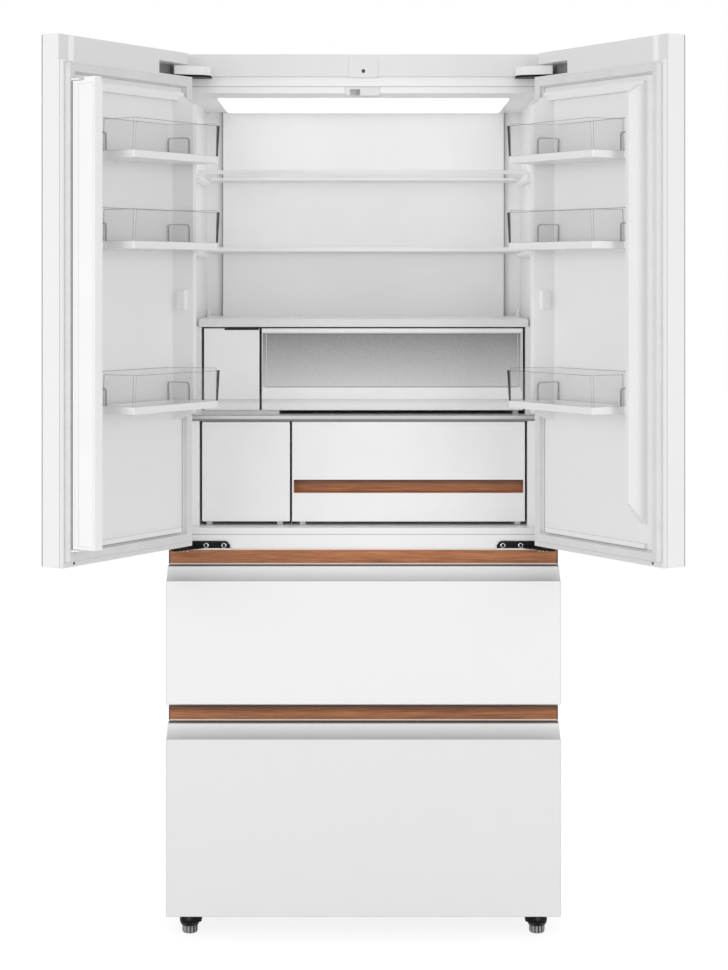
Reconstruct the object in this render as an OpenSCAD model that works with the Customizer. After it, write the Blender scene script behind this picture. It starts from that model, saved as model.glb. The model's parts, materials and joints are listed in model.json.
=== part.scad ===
// Multi-door refrigerator: two hinged doors over two freezer drawers, with inner drawers behind the doors.
// Millimetres, +Z up, -Y towards the user. The origin is on the floor, under the middle of the whole outline
// with both doors standing open. The doors are drawn open, and every drawer is drawn closed.

/* [Cabinet] */
// Width of the cabinet and of the fronts
cab_w = 810; // [790:5:850]
// Depth of the cabinet without its doors
cab_d = 580; // [575:5:640]
// Height of the cabinet top above the tops of the doors
top_rise = 2; // [0:1:6]
// Side wall, from the outside to the inside of the fridge liner
wall_t = 40; // [38:1:44]
// Side wall, from the outside to the inside of the freezer liner
freezer_wall_t = 50; // [46:1:60]
// Rear wall, from the back of the cabinet to the inside of the fridge liner
back_t = 80; // [72:2:90]
// Rear wall behind the freezer liner
freezer_back_t = 110; // [100:2:120]
// Cabinet sheet
sheet_t = 1.2; // [0.8:0.1:2]
// Liner sheet
liner_t = 2.5; // [2:0.5:4]
// Width of the liner lip that lies on the front frame
lip_w = 13; // [10:1:15]
// Underside of the cabinet above the floor
base_z = 40; // [38:1:44]
// Height of the machine room, above the underside of the cabinet
machine_h = 222; // [210:2:240]
// Depth of the machine room
machine_d = 225; // [220:5:230]

/* [Fronts] */
// Bottom of the lower drawer front above the floor
floor_gap = 56; // [54:1:70]
// Height of the lower drawer front
lower_front_h = 390; // [370:5:420]
// Height of the upper drawer front
upper_front_h = 279; // [250:1:310]
// Height of the open gap above each drawer front
front_gap = 46; // [42:1:56]
// Height of the doors
door_h = 1014; // [1010:2:1060]
// Thickness of a front, from its face to its rear plate
door_t = 53; // [50:1:58]
// Outer skin of a front
front_skin = 3; // [2:0.5:5]
// Room for the seal between a front and the cabinet
seal_gap = 12; // [11:0.5:14]
// Gap between the two doors
centre_gap = 3; // [2:0.5:5]
// From the edge of a front to the opening behind it
seal_margin = 30; // [29:0.5:34]
// Height of the sloped grip edge along the top of a drawer front
grip_h = 25; // [18:1:32]
// Depth of that grip edge
grip_d = 32; // [24:1:40]
// Radius of its hollow
grip_r = 45; // [36:1:80]
// Height of the walnut strip above each drawer front
strip_h = 32; // [28:1:36]
// Thickness of the walnut strip
strip_t = 4; // [3:0.5:8]

/* [Seals] */
// Width of a seal
seal_w = 18; // [14:0.5:18]
// Distance from the hinge edge of a door to its seal
seal_side = 16; // [15.5:0.5:17]
// Distance from the free edge of a door to its seal
seal_free = 6.5; // [5:0.5:8]
// Distance from the bottom edge of a front to its seal
seal_low = 12; // [8:0.5:12]
// Distance from the top of a door's body to its seal
seal_top = 6; // [4:0.5:8]
// Gap between a closed seal and the cabinet
seal_clear = 0.3; // [0.2:0.1:0.6]

/* [Hinges] */
// Opening angle at which the doors stand
door_open = 122.5; // [100:0.5:124]
// Hinge pin, from the side of the cabinet
pin_side = 15; // [14.5:0.5:17]
// Hinge pin, from the face of the door
pin_front = 18; // [17.5:0.5:20]
// Radius of a hinge pin
pin_r = 5; // [4:0.5:6]
// Length of a hinge pin inside the door
pin_len = 22; // [14:1:26]
// Radial running clearance of pins in their bores
pin_clear = 0.08; // [0.02:0.01:0.1]
// Thickness of a hinge plate
hinge_t = 4; // [3:0.5:4.5]
// Gap between a hinge plate and the door
hinge_gap = 2; // [1:0.5:3]
// Height of the thinner band along the top of a door
band_h = 50; // [46:1:56]
// How much thinner that band is than the door
band_step = 10.5; // [8:0.5:12]
// Height of the pocket in the band that clears the hinge
pocket_h = 27; // [26:1:30]
// Length of that pocket from the side of the door
pocket_len = 95; // [92:1:104]
// Wall left in front of the pocket
pocket_wall = 6; // [4:0.5:6.5]
// Height of the white cover on a top hinge
hinge_cover_h = 19; // [14:1:19]
// Inner end of a top hinge, from the side of the cabinet
hinge_reach = 89; // [80:1:92]
// Height of a bottom hinge's front plate
foot_plate_h = 15.5; // [12:0.5:17]
// Inner end of a bottom hinge, from the side of the cabinet
foot_plate_reach = 127; // [110:1:150]
// Radius of a hinge screw head
screw_r = 5.5; // [4:0.5:6]
// Height of a screw head
screw_h = 2.5; // [1.5:0.5:3]
// Distance between the two screws of a bottom hinge
screw_pitch = 37; // [30:1:40]

/* [Door insides] */
// Frame along the top, bottom and free edges of a door
frame_t = 14; // [10:1:18]
// Frame post that holds the hinge pins
post_t = 28; // [26:1:32]
// Depth of the dykes that carry the bins
dyke_p = 45; // [40:1:46]
// Width of a dyke at its crest
dyke_crest = 11; // [8:1:14]
// Width of a dyke at its root
dyke_root = 21; // [18:1:24]
// Outer face of the hinge dyke, from the side of the cabinet
dyke_side = 45; // [44:0.5:48]
// Outer face of the free dyke, from the middle of the cabinet
dyke_free = 50; // [48:1:56]
// Height of the ridges that join the dykes
lip_p = 12; // [8:1:16]
// Depth of a bin from the door plate to its front
bin_p = 99; // [90:1:100]
// Height of a bin tray
tray_h = 15; // [12:1:20]
// Height of a clear bin guard above its tray
guard_h = 61; // [50:1:70]
// Wall of a bin guard
guard_t = 3; // [2:0.5:4]
// Rise of a bin guard's rear wall above its front
guard_rise = 5; // [0:1:8]
// How far a bin guard leans out at its top
guard_lean = 5; // [3:0.5:6]
// Top bin tray below the compartment ceiling
top_bin_down = 140.3; // [130:0.1:170]
// Middle bin tray below the compartment ceiling
middle_bin_down = 314.5; // [290:0.5:330]
// Lower bin tray above the compartment floor
low_bin_up = 274; // [262:1:290]
// Bottom of the hinge dyke below the lower bin tray
hinge_dyke_down = 27; // [18:1:40]
// Bottom of the free dyke above the compartment floor
free_dyke_up = 48; // [40:1:60]
// Height of the bin stop on a hinge dyke
bin_stop_h = 39; // [30:1:50]

/* [Flip mullion] */
// Width of the mullion
mullion_w = 54; // [50:1:60]
// Thickness of the mullion
mullion_t = 22; // [18:1:26]
// Pivot, from the face of the mullion
mullion_e = 9; // [7:0.5:9]
// Pivot, from the near edge of the mullion
mullion_n = 6; // [5:0.5:6]
// Gap between the closed mullion and the plane of the cabinet front
mullion_gap = 1.5; // [1.5:0.5:3]
// Radius of the mullion's pivot pins
mullion_pin_r = 3; // [2:0.5:3.5]

/* [Fridge inside] */
// Step in from the liner to the sides of the inner drawers
side_step = 20; // [18:1:24]
// Height of the lower row of inner drawers
row_low_h = 220; // [200:2:240]
// Height of the upper row of inner drawers
row_top_h = 186.5; // [170:0.5:200]
// Thickness of the divider shelf
divider_t = 10; // [8:0.5:14]
// Front of the lower row behind the cabinet front
row_low_y = 45; // [44:1:54]
// Front of the upper row and of the shelves behind the cabinet front
row_top_y = 100; // [98:1:110]
// Upper glass shelf below the compartment ceiling
upper_shelf_down = 155; // [130:1:180]
// Lower glass shelf below the compartment ceiling
lower_shelf_down = 319.5; // [290:0.5:350]
// Thickness of the shelf glass
glass_t = 4; // [3:0.5:5]
// Height of the shelf trims
shelf_trim_h = 8.5; // [6:0.5:10]
// Height of the front of the cover shelf over the drawers
cover_h = 17; // [14:1:24]
// Depth of the air duct panel on the rear wall
duct_d = 15; // [12:1:24]
// Distance from the liner's side to the duct panel
duct_side = 39; // [30:1:60]
// Width of the small-items drawer front
small_w = 185; // [160:5:200]
// Width of the water tank front
tank_w = 118; // [100:1:140]
// Gap around an inner drawer
drawer_gap = 5; // [4:0.5:6]
// Wall of the inner drawers
drawer_wall = 2.5; // [2:0.5:4]
// Thickness of an inner drawer's front
drawer_front_t = 10; // [8:1:14]
// Gap under a sliding inner drawer
slide_gap = 0.4; // [0.3:0.1:0.6]
// Width of the light panel
light_w = 626; // [560:2:660]
// Front edge of the light panel behind the cabinet front
light_y = 123; // [110:1:160]
// Gap between the light panel and the duct panel
light_back = 14; // [8:1:80]

/* [Freezer inside] */
// Depth of the slide channels
channel_d = 12; // [10:1:13]
// Height of the slide channels
channel_h = 30; // [26:1:34]
// Sheet of the slide channels
channel_t = 2; // [1.5:0.5:3]
// Upper slides, above the bottom of their drawer front
upper_rail_up = 153; // [130:1:170]
// Lower slides, above the bottom of their drawer front
lower_rail_up = 255; // [230:1:290]
// Clearance between a rail and its channel
rail_clear = 1; // [0.6:0.1:1.4]
// Wall of the baskets
basket_wall = 3; // [2:0.5:4]
// Gap behind the lower basket
lower_basket_back = 12; // [10:1:40]
// Gap behind the upper basket
upper_basket_back = 25; // [20:1:70]
// Outer radius of the compressor
compressor_r = 72; // [60:1:76]
// Outer radius of a fan
fan_r = 52; // [44:1:56]

/* [Feet] */
// Radius of a levelling foot
foot_r = 15.7; // [13:0.1:18]
// Height of a levelling foot
foot_h = 16; // [13:1:17]
// Radius of the foot's threaded stem
stem_r = 5; // [4:0.5:6]
// Levelling foot, from the side of the cabinet
foot_side = 42; // [38:1:60]
// Levelling foot behind the cabinet front
foot_y = 18; // [16:1:30]
// How far the foot's bracket reaches around it
bracket_rim = 3; // [1:0.5:5]
// Radius of a rear roller
roller_r = 20; // [16:1:22]
// Width of a rear roller
roller_w = 18; // [14:1:24]

/* [Hidden] */
$fn = 48;
eps = 1;

// Heights of the fronts and of the openings behind them
half_w = cab_w / 2;
low_z0 = floor_gap;
low_z1 = low_z0 + lower_front_h;
up_z0 = low_z1 + front_gap;
up_z1 = up_z0 + upper_front_h;
door_z0 = up_z1 + front_gap;
door_z1 = door_z0 + door_h;
body_z1 = door_z1 - band_h;
cab_top = door_z1 + top_rise;
fridge_z0 = door_z0 + seal_margin;
fridge_z1 = body_z1 - seal_margin + 2;
machine_top = base_z + machine_h;
machine_y = cab_d - machine_d;

// Depths, with the cabinet front at zero
face_y = -(seal_gap + door_t);
skin_y = face_y + front_skin;
back_y = -seal_gap;
plate_y = back_y - liner_t;
band_y = back_y - band_step;
fridge_back = cab_d - back_t;
freezer_back = cab_d - freezer_back_t;
liner_x = half_w - wall_t;
freezer_x = half_w - freezer_wall_t;

// Hinge pins, and the frame of the part
pin_x = half_w - pin_side;
pin_y = face_y + pin_front;
free_x = centre_gap / 2;
mullion_x = mullion_w / 2 - mullion_n;
mullion_y = mullion_gap + mullion_e;
mullion_x0 = mullion_x - mullion_e;
mullion_y0 = mullion_y - mullion_n;
tip_v = [mullion_x0 - pin_x, mullion_y0 + mullion_w - pin_y];
front_reach = pin_y + sin(door_open) * tip_v[0] + cos(door_open) * tip_v[1];
middle_y = (front_reach + cab_d) / 2;

// Inner drawers and shelves
divider_z = fridge_z0 + row_low_h;
divider_top = divider_z + divider_t;
cover_z = divider_top + row_top_h;
cheek_x = liner_x - side_step;
inner_x = cheek_x - drawer_gap;
duct_y = fridge_back - duct_d;
drawer_end = duct_y - 15;
split_low = -inner_x + small_w + drawer_gap / 2;
split_top = -inner_x + tank_w + drawer_gap / 2;
front_low_z = fridge_z0 + 8;
front_low_h = row_low_h - 10;
row_gap = 9;
top_front_z = divider_top + row_gap;
top_front_h = row_top_h - row_gap - 3;
ledge_x = liner_x - 12;
ledge_y = [row_top_y + 10, fridge_back - 75];
shelf_x = liner_x - 14;
scoop_r = 13;
walnut_recess = 22;
recess_z = [front_low_z + 60, front_low_z + 88];

// Dykes and bins, on the right door standing closed
dyke_x = half_w - dyke_side;
dyke_top = fridge_z1 - 7;
dyke_slope = 27;
hinge_dyke_z = fridge_z0 + low_bin_up - tray_h - hinge_dyke_down;
free_dyke_z = fridge_z0 + free_dyke_up;
bin_stop_z = (fridge_z0 + fridge_z1) / 2 + 4;
bin_x0 = dyke_free + 43;
shoulder_x = dyke_free + dyke_root + 3;
bin_x1 = dyke_x - dyke_root - 1;
guard_x1 = bin_x1 - 15;
crest_x = dyke_x - dyke_crest;
shoulder_p = 22;

// Seal room in the header, hinges and header cover
hinge_z = body_z1 + hinge_gap;
header_z = hinge_z + hinge_t;
header_d = band_step - 0.5;
hinge_neck = 19;
door_bottom_gap = 8;
foot_plate_z = door_z0 - 12.5;
screw_x = half_w - 77.5;
screw_z = foot_plate_z + foot_plate_h / 2 - 1.2;
guide_z = fridge_z1 - 5;
guide_h = 17;
guide_d = 34;

// Freezer slides
up_rail_z = up_z0 + upper_rail_up;
low_rail_z = low_z0 + lower_rail_up;
rail_x = freezer_x - channel_t - rail_clear;
basket_x = freezer_x - channel_d - 5;
step_y = machine_y - 25;
step_z = machine_top + 30;
evaporator_d = 70;
cover_y = freezer_back - evaporator_d;
upper_basket_y = cover_y - upper_basket_back;
lower_basket_y = step_y - lower_basket_back;

module placed() {
    translate([0, -middle_y, 0]) children();
}

module slab(x, y, z) {
    translate([x[0], y[0], z[0]]) cube([x[1] - x[0], y[1] - y[0], z[1] - z[0]]);
}

module both_sides() {
    children();
    mirror([1, 0, 0]) children();
}

// A profile in Y and Z, run along X
module along_x(x, points) {
    translate([x[0], 0, 0]) rotate([90, 0, 90]) linear_extrude(x[1] - x[0]) polygon(points);
}

// A profile in X and Y, run up Z
module up_z(z, points) {
    translate([0, 0, z[0]]) linear_extrude(z[1] - z[0]) polygon(points);
}

module rod(at, r, h) {
    translate(at) cylinder(r = r, h = h);
}

module rod_y(at, r, h) {
    translate(at) rotate([-90, 0, 0]) cylinder(r = r, h = h);
}

module rod_x(at, r, h) {
    translate(at) rotate([0, 90, 0]) cylinder(r = r, h = h);
}

// The doors are drawn closed and then swung about their pins
module swung() {
    translate([pin_x, pin_y, 0]) rotate([0, 0, door_open]) translate([-pin_x, -pin_y, 0]) children();
}

module on_right_door() {
    placed() swung() children();
}

module on_left_door() {
    placed() mirror([1, 0, 0]) swung() children();
}

// Hollow of the fridge compartment, grown by the liner sheet for its outside
module fridge_hollow(grow) {
    slab([-liner_x - grow, liner_x + grow], [-eps, fridge_back + grow],
        [fridge_z0 - grow, fridge_z1 + grow]);
}

module freezer_hollow(z0, z1, grow) {
    slab([-freezer_x - grow, freezer_x + grow], [-eps, freezer_back + grow], [z0 - grow, z1 + grow]);
}

module lower_hollow(grow) {
    slab([-freezer_x - grow, freezer_x + grow], [-eps, step_y + grow],
        [low_z0 + seal_margin - grow, low_z1 - seal_margin + grow]);
    slab([-freezer_x - grow, freezer_x + grow], [-eps, freezer_back + grow],
        [step_z - grow, low_z1 - seal_margin + grow]);
}

module front_opening(x, z0, z1) {
    slab([-x - lip_w, x + lip_w], [-eps, liner_t], [z0 - lip_w, z1 + lip_w]);
}

module all_openings() {
    front_opening(liner_x, fridge_z0, fridge_z1);
    front_opening(freezer_x, up_z0 + seal_margin, up_z1 - seal_margin);
    front_opening(freezer_x, low_z0 + seal_margin, low_z1 - seal_margin);
}

module machine_room() {
    slab([-half_w, half_w], [machine_y, cab_d + eps], [base_z - eps, machine_top]);
}

module lip(x, z0, z1) {
    difference() {
        slab([-x - lip_w, x + lip_w], [0, liner_t], [z0 - lip_w, z1 + lip_w]);
        slab([-x, x], [-eps, liner_t + eps], [z0, z1]);
    }
}

module cabinet_shell() placed() color("whitesmoke") difference() {
    slab([-half_w, half_w], [0, cab_d - sheet_t], [base_z, cab_top]);
    slab([sheet_t - half_w, half_w - sheet_t], [sheet_t, cab_d], [base_z - eps, cab_top - sheet_t]);
    all_openings();
}

module cabinet_foam() placed() color("khaki") difference() {
    slab([sheet_t - half_w, half_w - sheet_t], [sheet_t, cab_d - sheet_t], [base_z, cab_top - sheet_t]);
    all_openings();
    guide_block();
    fridge_hollow(liner_t);
    freezer_hollow(up_z0 + seal_margin, up_z1 - seal_margin, liner_t);
    lower_hollow(liner_t);
    machine_room();
}

// Block under the header that turns the mullion, with the slot that its cap runs in
module guide_block() {
    translate([0, guide_d, 0]) rotate([90, 0, 0]) linear_extrude(guide_d)
        polygon([[-36, guide_z], [32, guide_z], [36, guide_z + guide_h], [-41, guide_z + guide_h]]);
}

// Ledge with a sloped underside that carries a glass shelf
module shelf_ledge(z) {
    difference() {
        slab([ledge_x, liner_x + liner_t / 2], ledge_y, [z - 12, z]);
        translate([ledge_x, 0, z - 12]) rotate([0, 45, 0]) cube([8, cab_d * 3, 8], center = true);
    }
}

module fridge_liner() placed() color("white") {
    difference() {
        union() {
            difference() {
                fridge_hollow(liner_t);
                fridge_hollow(0);
                slab([-cab_w, cab_w], [-2 * eps, 0], [0, cab_top]);
            }
            lip(liner_x, fridge_z0, fridge_z1);
        }
        guide_block();
    }
    for (x = [-inner_x + 8, split_low - 30, split_low + 18, inner_x - 20])
        slab([x, x + 12], [row_low_y + 20, drawer_end], [fridge_z0, front_low_z - slide_gap]);
    both_sides() {
        slab([cheek_x, liner_x], [row_low_y - 7, fridge_back], [fridge_z0, divider_z]);
        for (z = shelf_tops()) shelf_ledge(z - shelf_trim_h);
    }
}

module freezer_liner() placed() color("white") {
    difference() {
        freezer_hollow(up_z0 + seal_margin, up_z1 - seal_margin, liner_t);
        freezer_hollow(up_z0 + seal_margin, up_z1 - seal_margin, 0);
        slab([-cab_w, cab_w], [-2 * eps, 0], [0, cab_top]);
    }
    difference() {
        lower_hollow(liner_t);
        lower_hollow(0);
        slab([-cab_w, cab_w], [-2 * eps, 0], [0, cab_top]);
    }
    lip(freezer_x, up_z0 + seal_margin, up_z1 - seal_margin);
    lip(freezer_x, low_z0 + seal_margin, low_z1 - seal_margin);
}

module rear_panel() placed() color("gainsboro") {
    slab([-half_w, half_w], [cab_d - sheet_t, cab_d], [machine_top, cab_top]);
}

// Louvred cover of the machine room, with the inlet gland for the mains lead
louvre_h = 6;
louvre_pitch = 16;
louvre_w = 150;
louvre_gap = 30;
louvre_side = 135;
gland_r = 11;
gland_side = 60;
module machine_cover() placed() color("dimgray") {
    difference() {
        slab([-half_w, half_w], [cab_d - sheet_t, cab_d], [base_z, machine_top]);
        for (col = [0 : 2], row = [0 : 7])
            translate([louvre_side - half_w + col * (louvre_w + louvre_gap), 0, base_z + 50])
                slab([0, louvre_w], [cab_d - sheet_t - eps, cab_d + eps],
                    [row * louvre_pitch, row * louvre_pitch + louvre_h]);
        rod_y([half_w - gland_side, cab_d - sheet_t - eps, base_z + 120], gland_r, sheet_t + 2 * eps);
    }
    rod_y([half_w - gland_side, cab_d - 12, base_z + 120], gland_r, 12);
}

bracket_z = foot_h + 1;
bracket_reach = 25;
bracket_arm_t = 16;
axle_r = 4;
roller_y = cab_d - 45;
roller_x = half_w - 60;
module foot_bracket() {
    difference() {
        union() {
            rod([half_w - foot_side, foot_y + 1, bracket_z], foot_r + bracket_rim, base_z - 2 - bracket_z);
            slab([half_w - foot_side - bracket_reach + 6, half_w - foot_side], [foot_y - 14, foot_y + 14],
                [base_z - bracket_arm_t, base_z - 2]);
            rod([half_w - foot_side - bracket_reach + 8, foot_y - 6, base_z - bracket_arm_t], 8,
                bracket_arm_t - 2);
            rod([half_w - foot_side - bracket_reach + 8, foot_y + 6, base_z - bracket_arm_t], 8,
                bracket_arm_t - 2);
        }
        rod([half_w - foot_side, foot_y, bracket_z - eps], stem_r + pin_clear, base_z - 5 - bracket_z);
    }
}

module roller_fork() {
    ear_t = 4;
    for (side = [-1, 1])
        translate([side * (roller_w / 2 + 0.5 + ear_t / 2), 0, 0])
            slab([roller_x - ear_t / 2, roller_x + ear_t / 2], [roller_y - 12, roller_y + 12],
                [roller_r - 8, base_z]);
    rod_x([roller_x - roller_w / 2 - ear_t, roller_y, roller_r], axle_r, roller_w + 2 * ear_t);
}

module base_frame() placed() color("black") both_sides() {
    difference() {
        slab([-0.01, half_w], [2, cab_d - sheet_t - 0.5], [base_z - 3, base_z]);
        slab([roller_x - roller_w / 2 - 1, roller_x + roller_w / 2 + 1],
            [roller_y - roller_r - 2, roller_y + roller_r + 2], [base_z - 3 - eps, base_z + eps]);
    }
    foot_bracket();
    roller_fork();
}

// Cover strip across the top, notched over the hinges, with a raised centre and its sensor hole
sensor_down = 33;
module header_cover() placed() color("whitesmoke") difference() {
    union() {
        slab([-half_w, half_w], [-header_d, 0], [header_z, cab_top]);
        slab([-30, 30], [-header_d - 2, 0], [header_z - 2, cab_top - 6]);
    }
    both_sides() slab([half_w - hinge_reach - 1, half_w - hinge_neck + 1], [-hinge_t - 0.5, eps],
        [header_z - 3, header_z + hinge_cover_h]);
    rod_y([0, -header_d - 3, door_z1 - sensor_down], 4, 8);
}

module mullion_guide() placed() color("white") difference() {
    guide_block();
    slab([-28, -7], [-eps, guide_d - 12], [guide_z - eps, guide_z + guide_h - 4]);
}

module walnut_strip(z) {
    slab([-half_w, half_w], [-strip_t, 0], [z, z + strip_h]);
}

module walnut_strips() placed() color("sienna") {
    walnut_strip(low_z1);
    walnut_strip(up_z1);
}

// Plan of a top hinge, from the header to the boss round the pin
module hinge_plan() {
    circle_r = 10;
    difference() {
        union() {
            polygon([[half_w - hinge_reach, 0], [half_w - hinge_neck, 0], [half_w - hinge_neck, -22],
                [pin_x + 8, pin_y + 6], [pin_x - 4, pin_y - 9], [half_w - hinge_reach + 14, pin_y + 6],
                [half_w - hinge_reach, pin_y + 20]]);
            translate([pin_x, pin_y]) circle(circle_r);
        }
        translate([half_w - hinge_reach - eps, -header_d]) square([hinge_reach, header_d + eps]);
    }
}

module top_hinge() {
    translate([0, 0, hinge_z]) linear_extrude(hinge_t) hinge_plan();
    slab([half_w - hinge_reach, half_w - hinge_neck], [-hinge_t, 0], [hinge_z, header_z + 16]);
    slab([half_w - hinge_reach, half_w - hinge_neck], [-header_d, 0], [hinge_z, header_z]);
    rod([pin_x, pin_y, body_z1 - pin_len], pin_r, hinge_gap + pin_len + 1);
}

module bottom_hinge() {
    tongue_z = door_z0 - door_bottom_gap - hinge_t;
    up_z([tongue_z, tongue_z + hinge_t], [[half_w - 70, 0], [half_w - 12, 0], [pin_x + 7, -20],
        [pin_x + 7, pin_y], [pin_x + 3, pin_y - 7], [pin_x - 5, pin_y - 7], [half_w - 52, pin_y + 24],
        [half_w - 70, -hinge_t - 6]]);
    difference() {
        slab([half_w - foot_plate_reach, half_w - 12], [-hinge_t, 0],
            [foot_plate_z, foot_plate_z + foot_plate_h]);
        translate([half_w - foot_plate_reach, 0, foot_plate_z + foot_plate_h]) rotate([0, 45, 0])
            cube([12, 3 * hinge_t, 12], center = true);
        for (i = [0, 1])
            rod_y([screw_x - i * screw_pitch, -hinge_t - eps, screw_z], 2.2, hinge_t + 2 * eps);
    }
    rod([pin_x, pin_y, tongue_z + 1], pin_r + 2.5, door_bottom_gap + 2.6);
    rod([pin_x, pin_y, tongue_z + 1], pin_r, door_bottom_gap + hinge_t + pin_len);
}

module door_hinges() placed() color("#2b2b2b") both_sides() {
    top_hinge();
    bottom_hinge();
}

module hinge_covers() placed() color("white") both_sides() {
    translate([0, 0, header_z]) linear_extrude(hinge_cover_h - 1) intersection() {
        hinge_plan();
        translate([half_w - hinge_reach, pin_y - 12])
            square([hinge_reach - pin_side - 2, -header_d - pin_y + 12]);
    }
}

module hinge_screws() placed() color("silver") both_sides() {
    for (i = [0, 1]) translate([screw_x - i * screw_pitch, 0, screw_z]) {
        difference() {
            rod_y([0, -hinge_t - screw_h, 0], screw_r, screw_h);
            rod_y([0, -hinge_t - screw_h - eps, 0], screw_r * 0.4, 1.2 + eps);
        }
        rod_y([0, -hinge_t - 0.5, 0], 2.1, hinge_t + 0.4);
    }
}

// Rear wall of the fridge compartment, and the cover in front of the evaporator with the fan's ring
duct_x = liner_x - duct_side;
duct_wall = 2.5;
fan_side = 110;
fan_x = freezer_x - fan_side;
fan_z = up_z0 + upper_front_h / 2;
module duct_panels() placed() color("white") {
    difference() {
        slab([-duct_x, duct_x], [duct_y, fridge_back], [fridge_z0 + 10, fridge_z1]);
        slab([duct_wall - duct_x, duct_x - duct_wall], [duct_y + duct_wall, fridge_back + eps],
            [fridge_z0 + 10 + duct_wall, fridge_z1 - duct_wall]);
    }
    difference() {
        slab([-freezer_x, freezer_x], [cover_y, cover_y + 3], [up_z0 + seal_margin, up_z1 - seal_margin]);
        rod_y([fan_x, cover_y - eps, fan_z], fan_r + 2, 3 + 2 * eps);
    }
    for (turn = [0 : 90 : 270]) translate([fan_x, cover_y, fan_z]) rotate([0, turn, 0])
        slab([0, fan_r + 4], [0, 3], [-4, 4]);
    rod_y([fan_x, cover_y, fan_z], 16, 12);
    rod_y([fan_x, cover_y, fan_z], 2, 40);
}

module ceiling_light() placed() color("#fffef8") {
    slab([-light_w / 2, light_w / 2], [light_y, duct_y - light_back], [fridge_z1 - 3, fridge_z1]);
}

function shelf_tops() = [fridge_z1 - upper_shelf_down, fridge_z1 - lower_shelf_down];

module glass_sheet(z) {
    sheet_z = [z - shelf_trim_h, z - shelf_trim_h + glass_t];
    slab([-shelf_x, shelf_x], [row_top_y + 3, duct_y - 12], sheet_z);
    slab([-ledge_x - 4, ledge_x + 4], ledge_y, sheet_z);
}

module shelf_glass() placed() color("#d8ece8") for (z = shelf_tops()) glass_sheet(z);

module glass_trim(z, y, rise) {
    difference() {
        slab([-shelf_x - 1.5, shelf_x + 1.5], y, [z - shelf_trim_h, z + rise]);
        glass_sheet(z);
    }
}

module shelf_trims() placed() color("silver") {
    for (z = shelf_tops()) {
        glass_trim(z, [row_top_y - 2, row_top_y + 8], 0);
        glass_trim(z, [duct_y - 20, duct_y - 8], 2);
    }
    slab([-liner_x + 3, liner_x - 3], [row_low_y - 9, row_low_y - 1], [divider_z, divider_top + 1]);
}

module cover_shelf() placed() color("white") difference() {
    slab([-shelf_x, shelf_x], [row_top_y - 5, duct_y], [cover_z, cover_z + cover_h]);
    slab([8 - shelf_x, shelf_x - 8], [row_top_y + 1, duct_y - 6], [cover_z - eps, cover_z + cover_h - 5]);
}

// Divider between the two rows, with its side uprights and the partitions between the drawers
module divider_shelf() placed() color("#e8ecec") {
    slab([-liner_x + 3, liner_x - 3], [row_low_y - 1, duct_y], [divider_z, divider_top]);
    slab([-cheek_x, split_top + 40], [row_top_y + 6, duct_y - 30], [divider_top, top_front_z - slide_gap]);
    slab([inner_x - 20, inner_x - 8], [row_top_y + 20, duct_y - 30], [divider_top, top_front_z - slide_gap]);
    both_sides() slab([cheek_x, liner_x - 1], [row_top_y - 8, duct_y], [divider_top, cover_z]);
    slab([split_top - 1, split_top + 1], [row_top_y + 30, duct_y], [divider_top, cover_z]);
    slab([split_low - 1, split_low + 1], [row_low_y + 30, duct_y], [fridge_z0, divider_z]);
}

module channel_pair(z, y1) {
    both_sides() difference() {
        slab([freezer_x - channel_d, freezer_x], [6, y1], [z - channel_h / 2, z + channel_h / 2]);
        slab([freezer_x - channel_d - eps, freezer_x - channel_t], [6 - eps, y1 + eps],
            [z - channel_h / 2 + channel_t, z + channel_h / 2 - channel_t]);
    }
}

module slide_channels() placed() color("lightsteelblue") {
    channel_pair(up_rail_z, cover_y - 2);
    channel_pair(low_rail_z, step_y - 2);
}

module evaporator() placed() color("silver") {
    fin_t = 1.5;
    fins = 24;
    x0 = -freezer_x + 30;
    x1 = fan_x - fan_r - 30;
    for (i = [0 : fins - 1]) {
        x = x0 + i * (x1 - x0 - fin_t) / (fins - 1);
        slab([x, x + fin_t], [cover_y + 14, freezer_back - 4],
            [up_z0 + seal_margin + 15, up_z1 - seal_margin - 25]);
    }
    for (z = [up_z0 + 65 : 40 : up_z1 - 75], y = [cover_y + 26, cover_y + 48])
        rod_x([x0 - 10, y, z], 4, x1 - x0 + 20);
    slab([x0 - 10, x1 + 10], [freezer_back - 8, freezer_back],
        [up_z1 - seal_margin - 40, up_z1 - seal_margin - 30]);
}

compressor_side = 180;
compressor_back = 110;
compressor_h = 160;
dome_h = 40;
compressor_x = half_w - compressor_side;
compressor_y = cab_d - compressor_back;
module compressor() placed() color("#1c1c1c") translate([compressor_x, compressor_y, base_z]) {
    dome_z = compressor_h - dome_h;
    rotate_extrude() polygon([[0, 12], [compressor_r - 14, 12], [compressor_r, 30], [compressor_r, dome_z],
        [compressor_r - 10, dome_z + 22], [compressor_r - 34, dome_z + 36], [0, compressor_h]]);
    slab([-compressor_r - 14, compressor_r + 14], [-40, 40], [8, 14]);
    for (x = [-1, 1], y = [-1, 1]) rod([x * (compressor_r + 4), y * 28, 0], 8, 8);
    slab([compressor_r - 6, compressor_r + 22], [-24, 24], [compressor_h - 110, dome_z - 10]);
}

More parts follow.
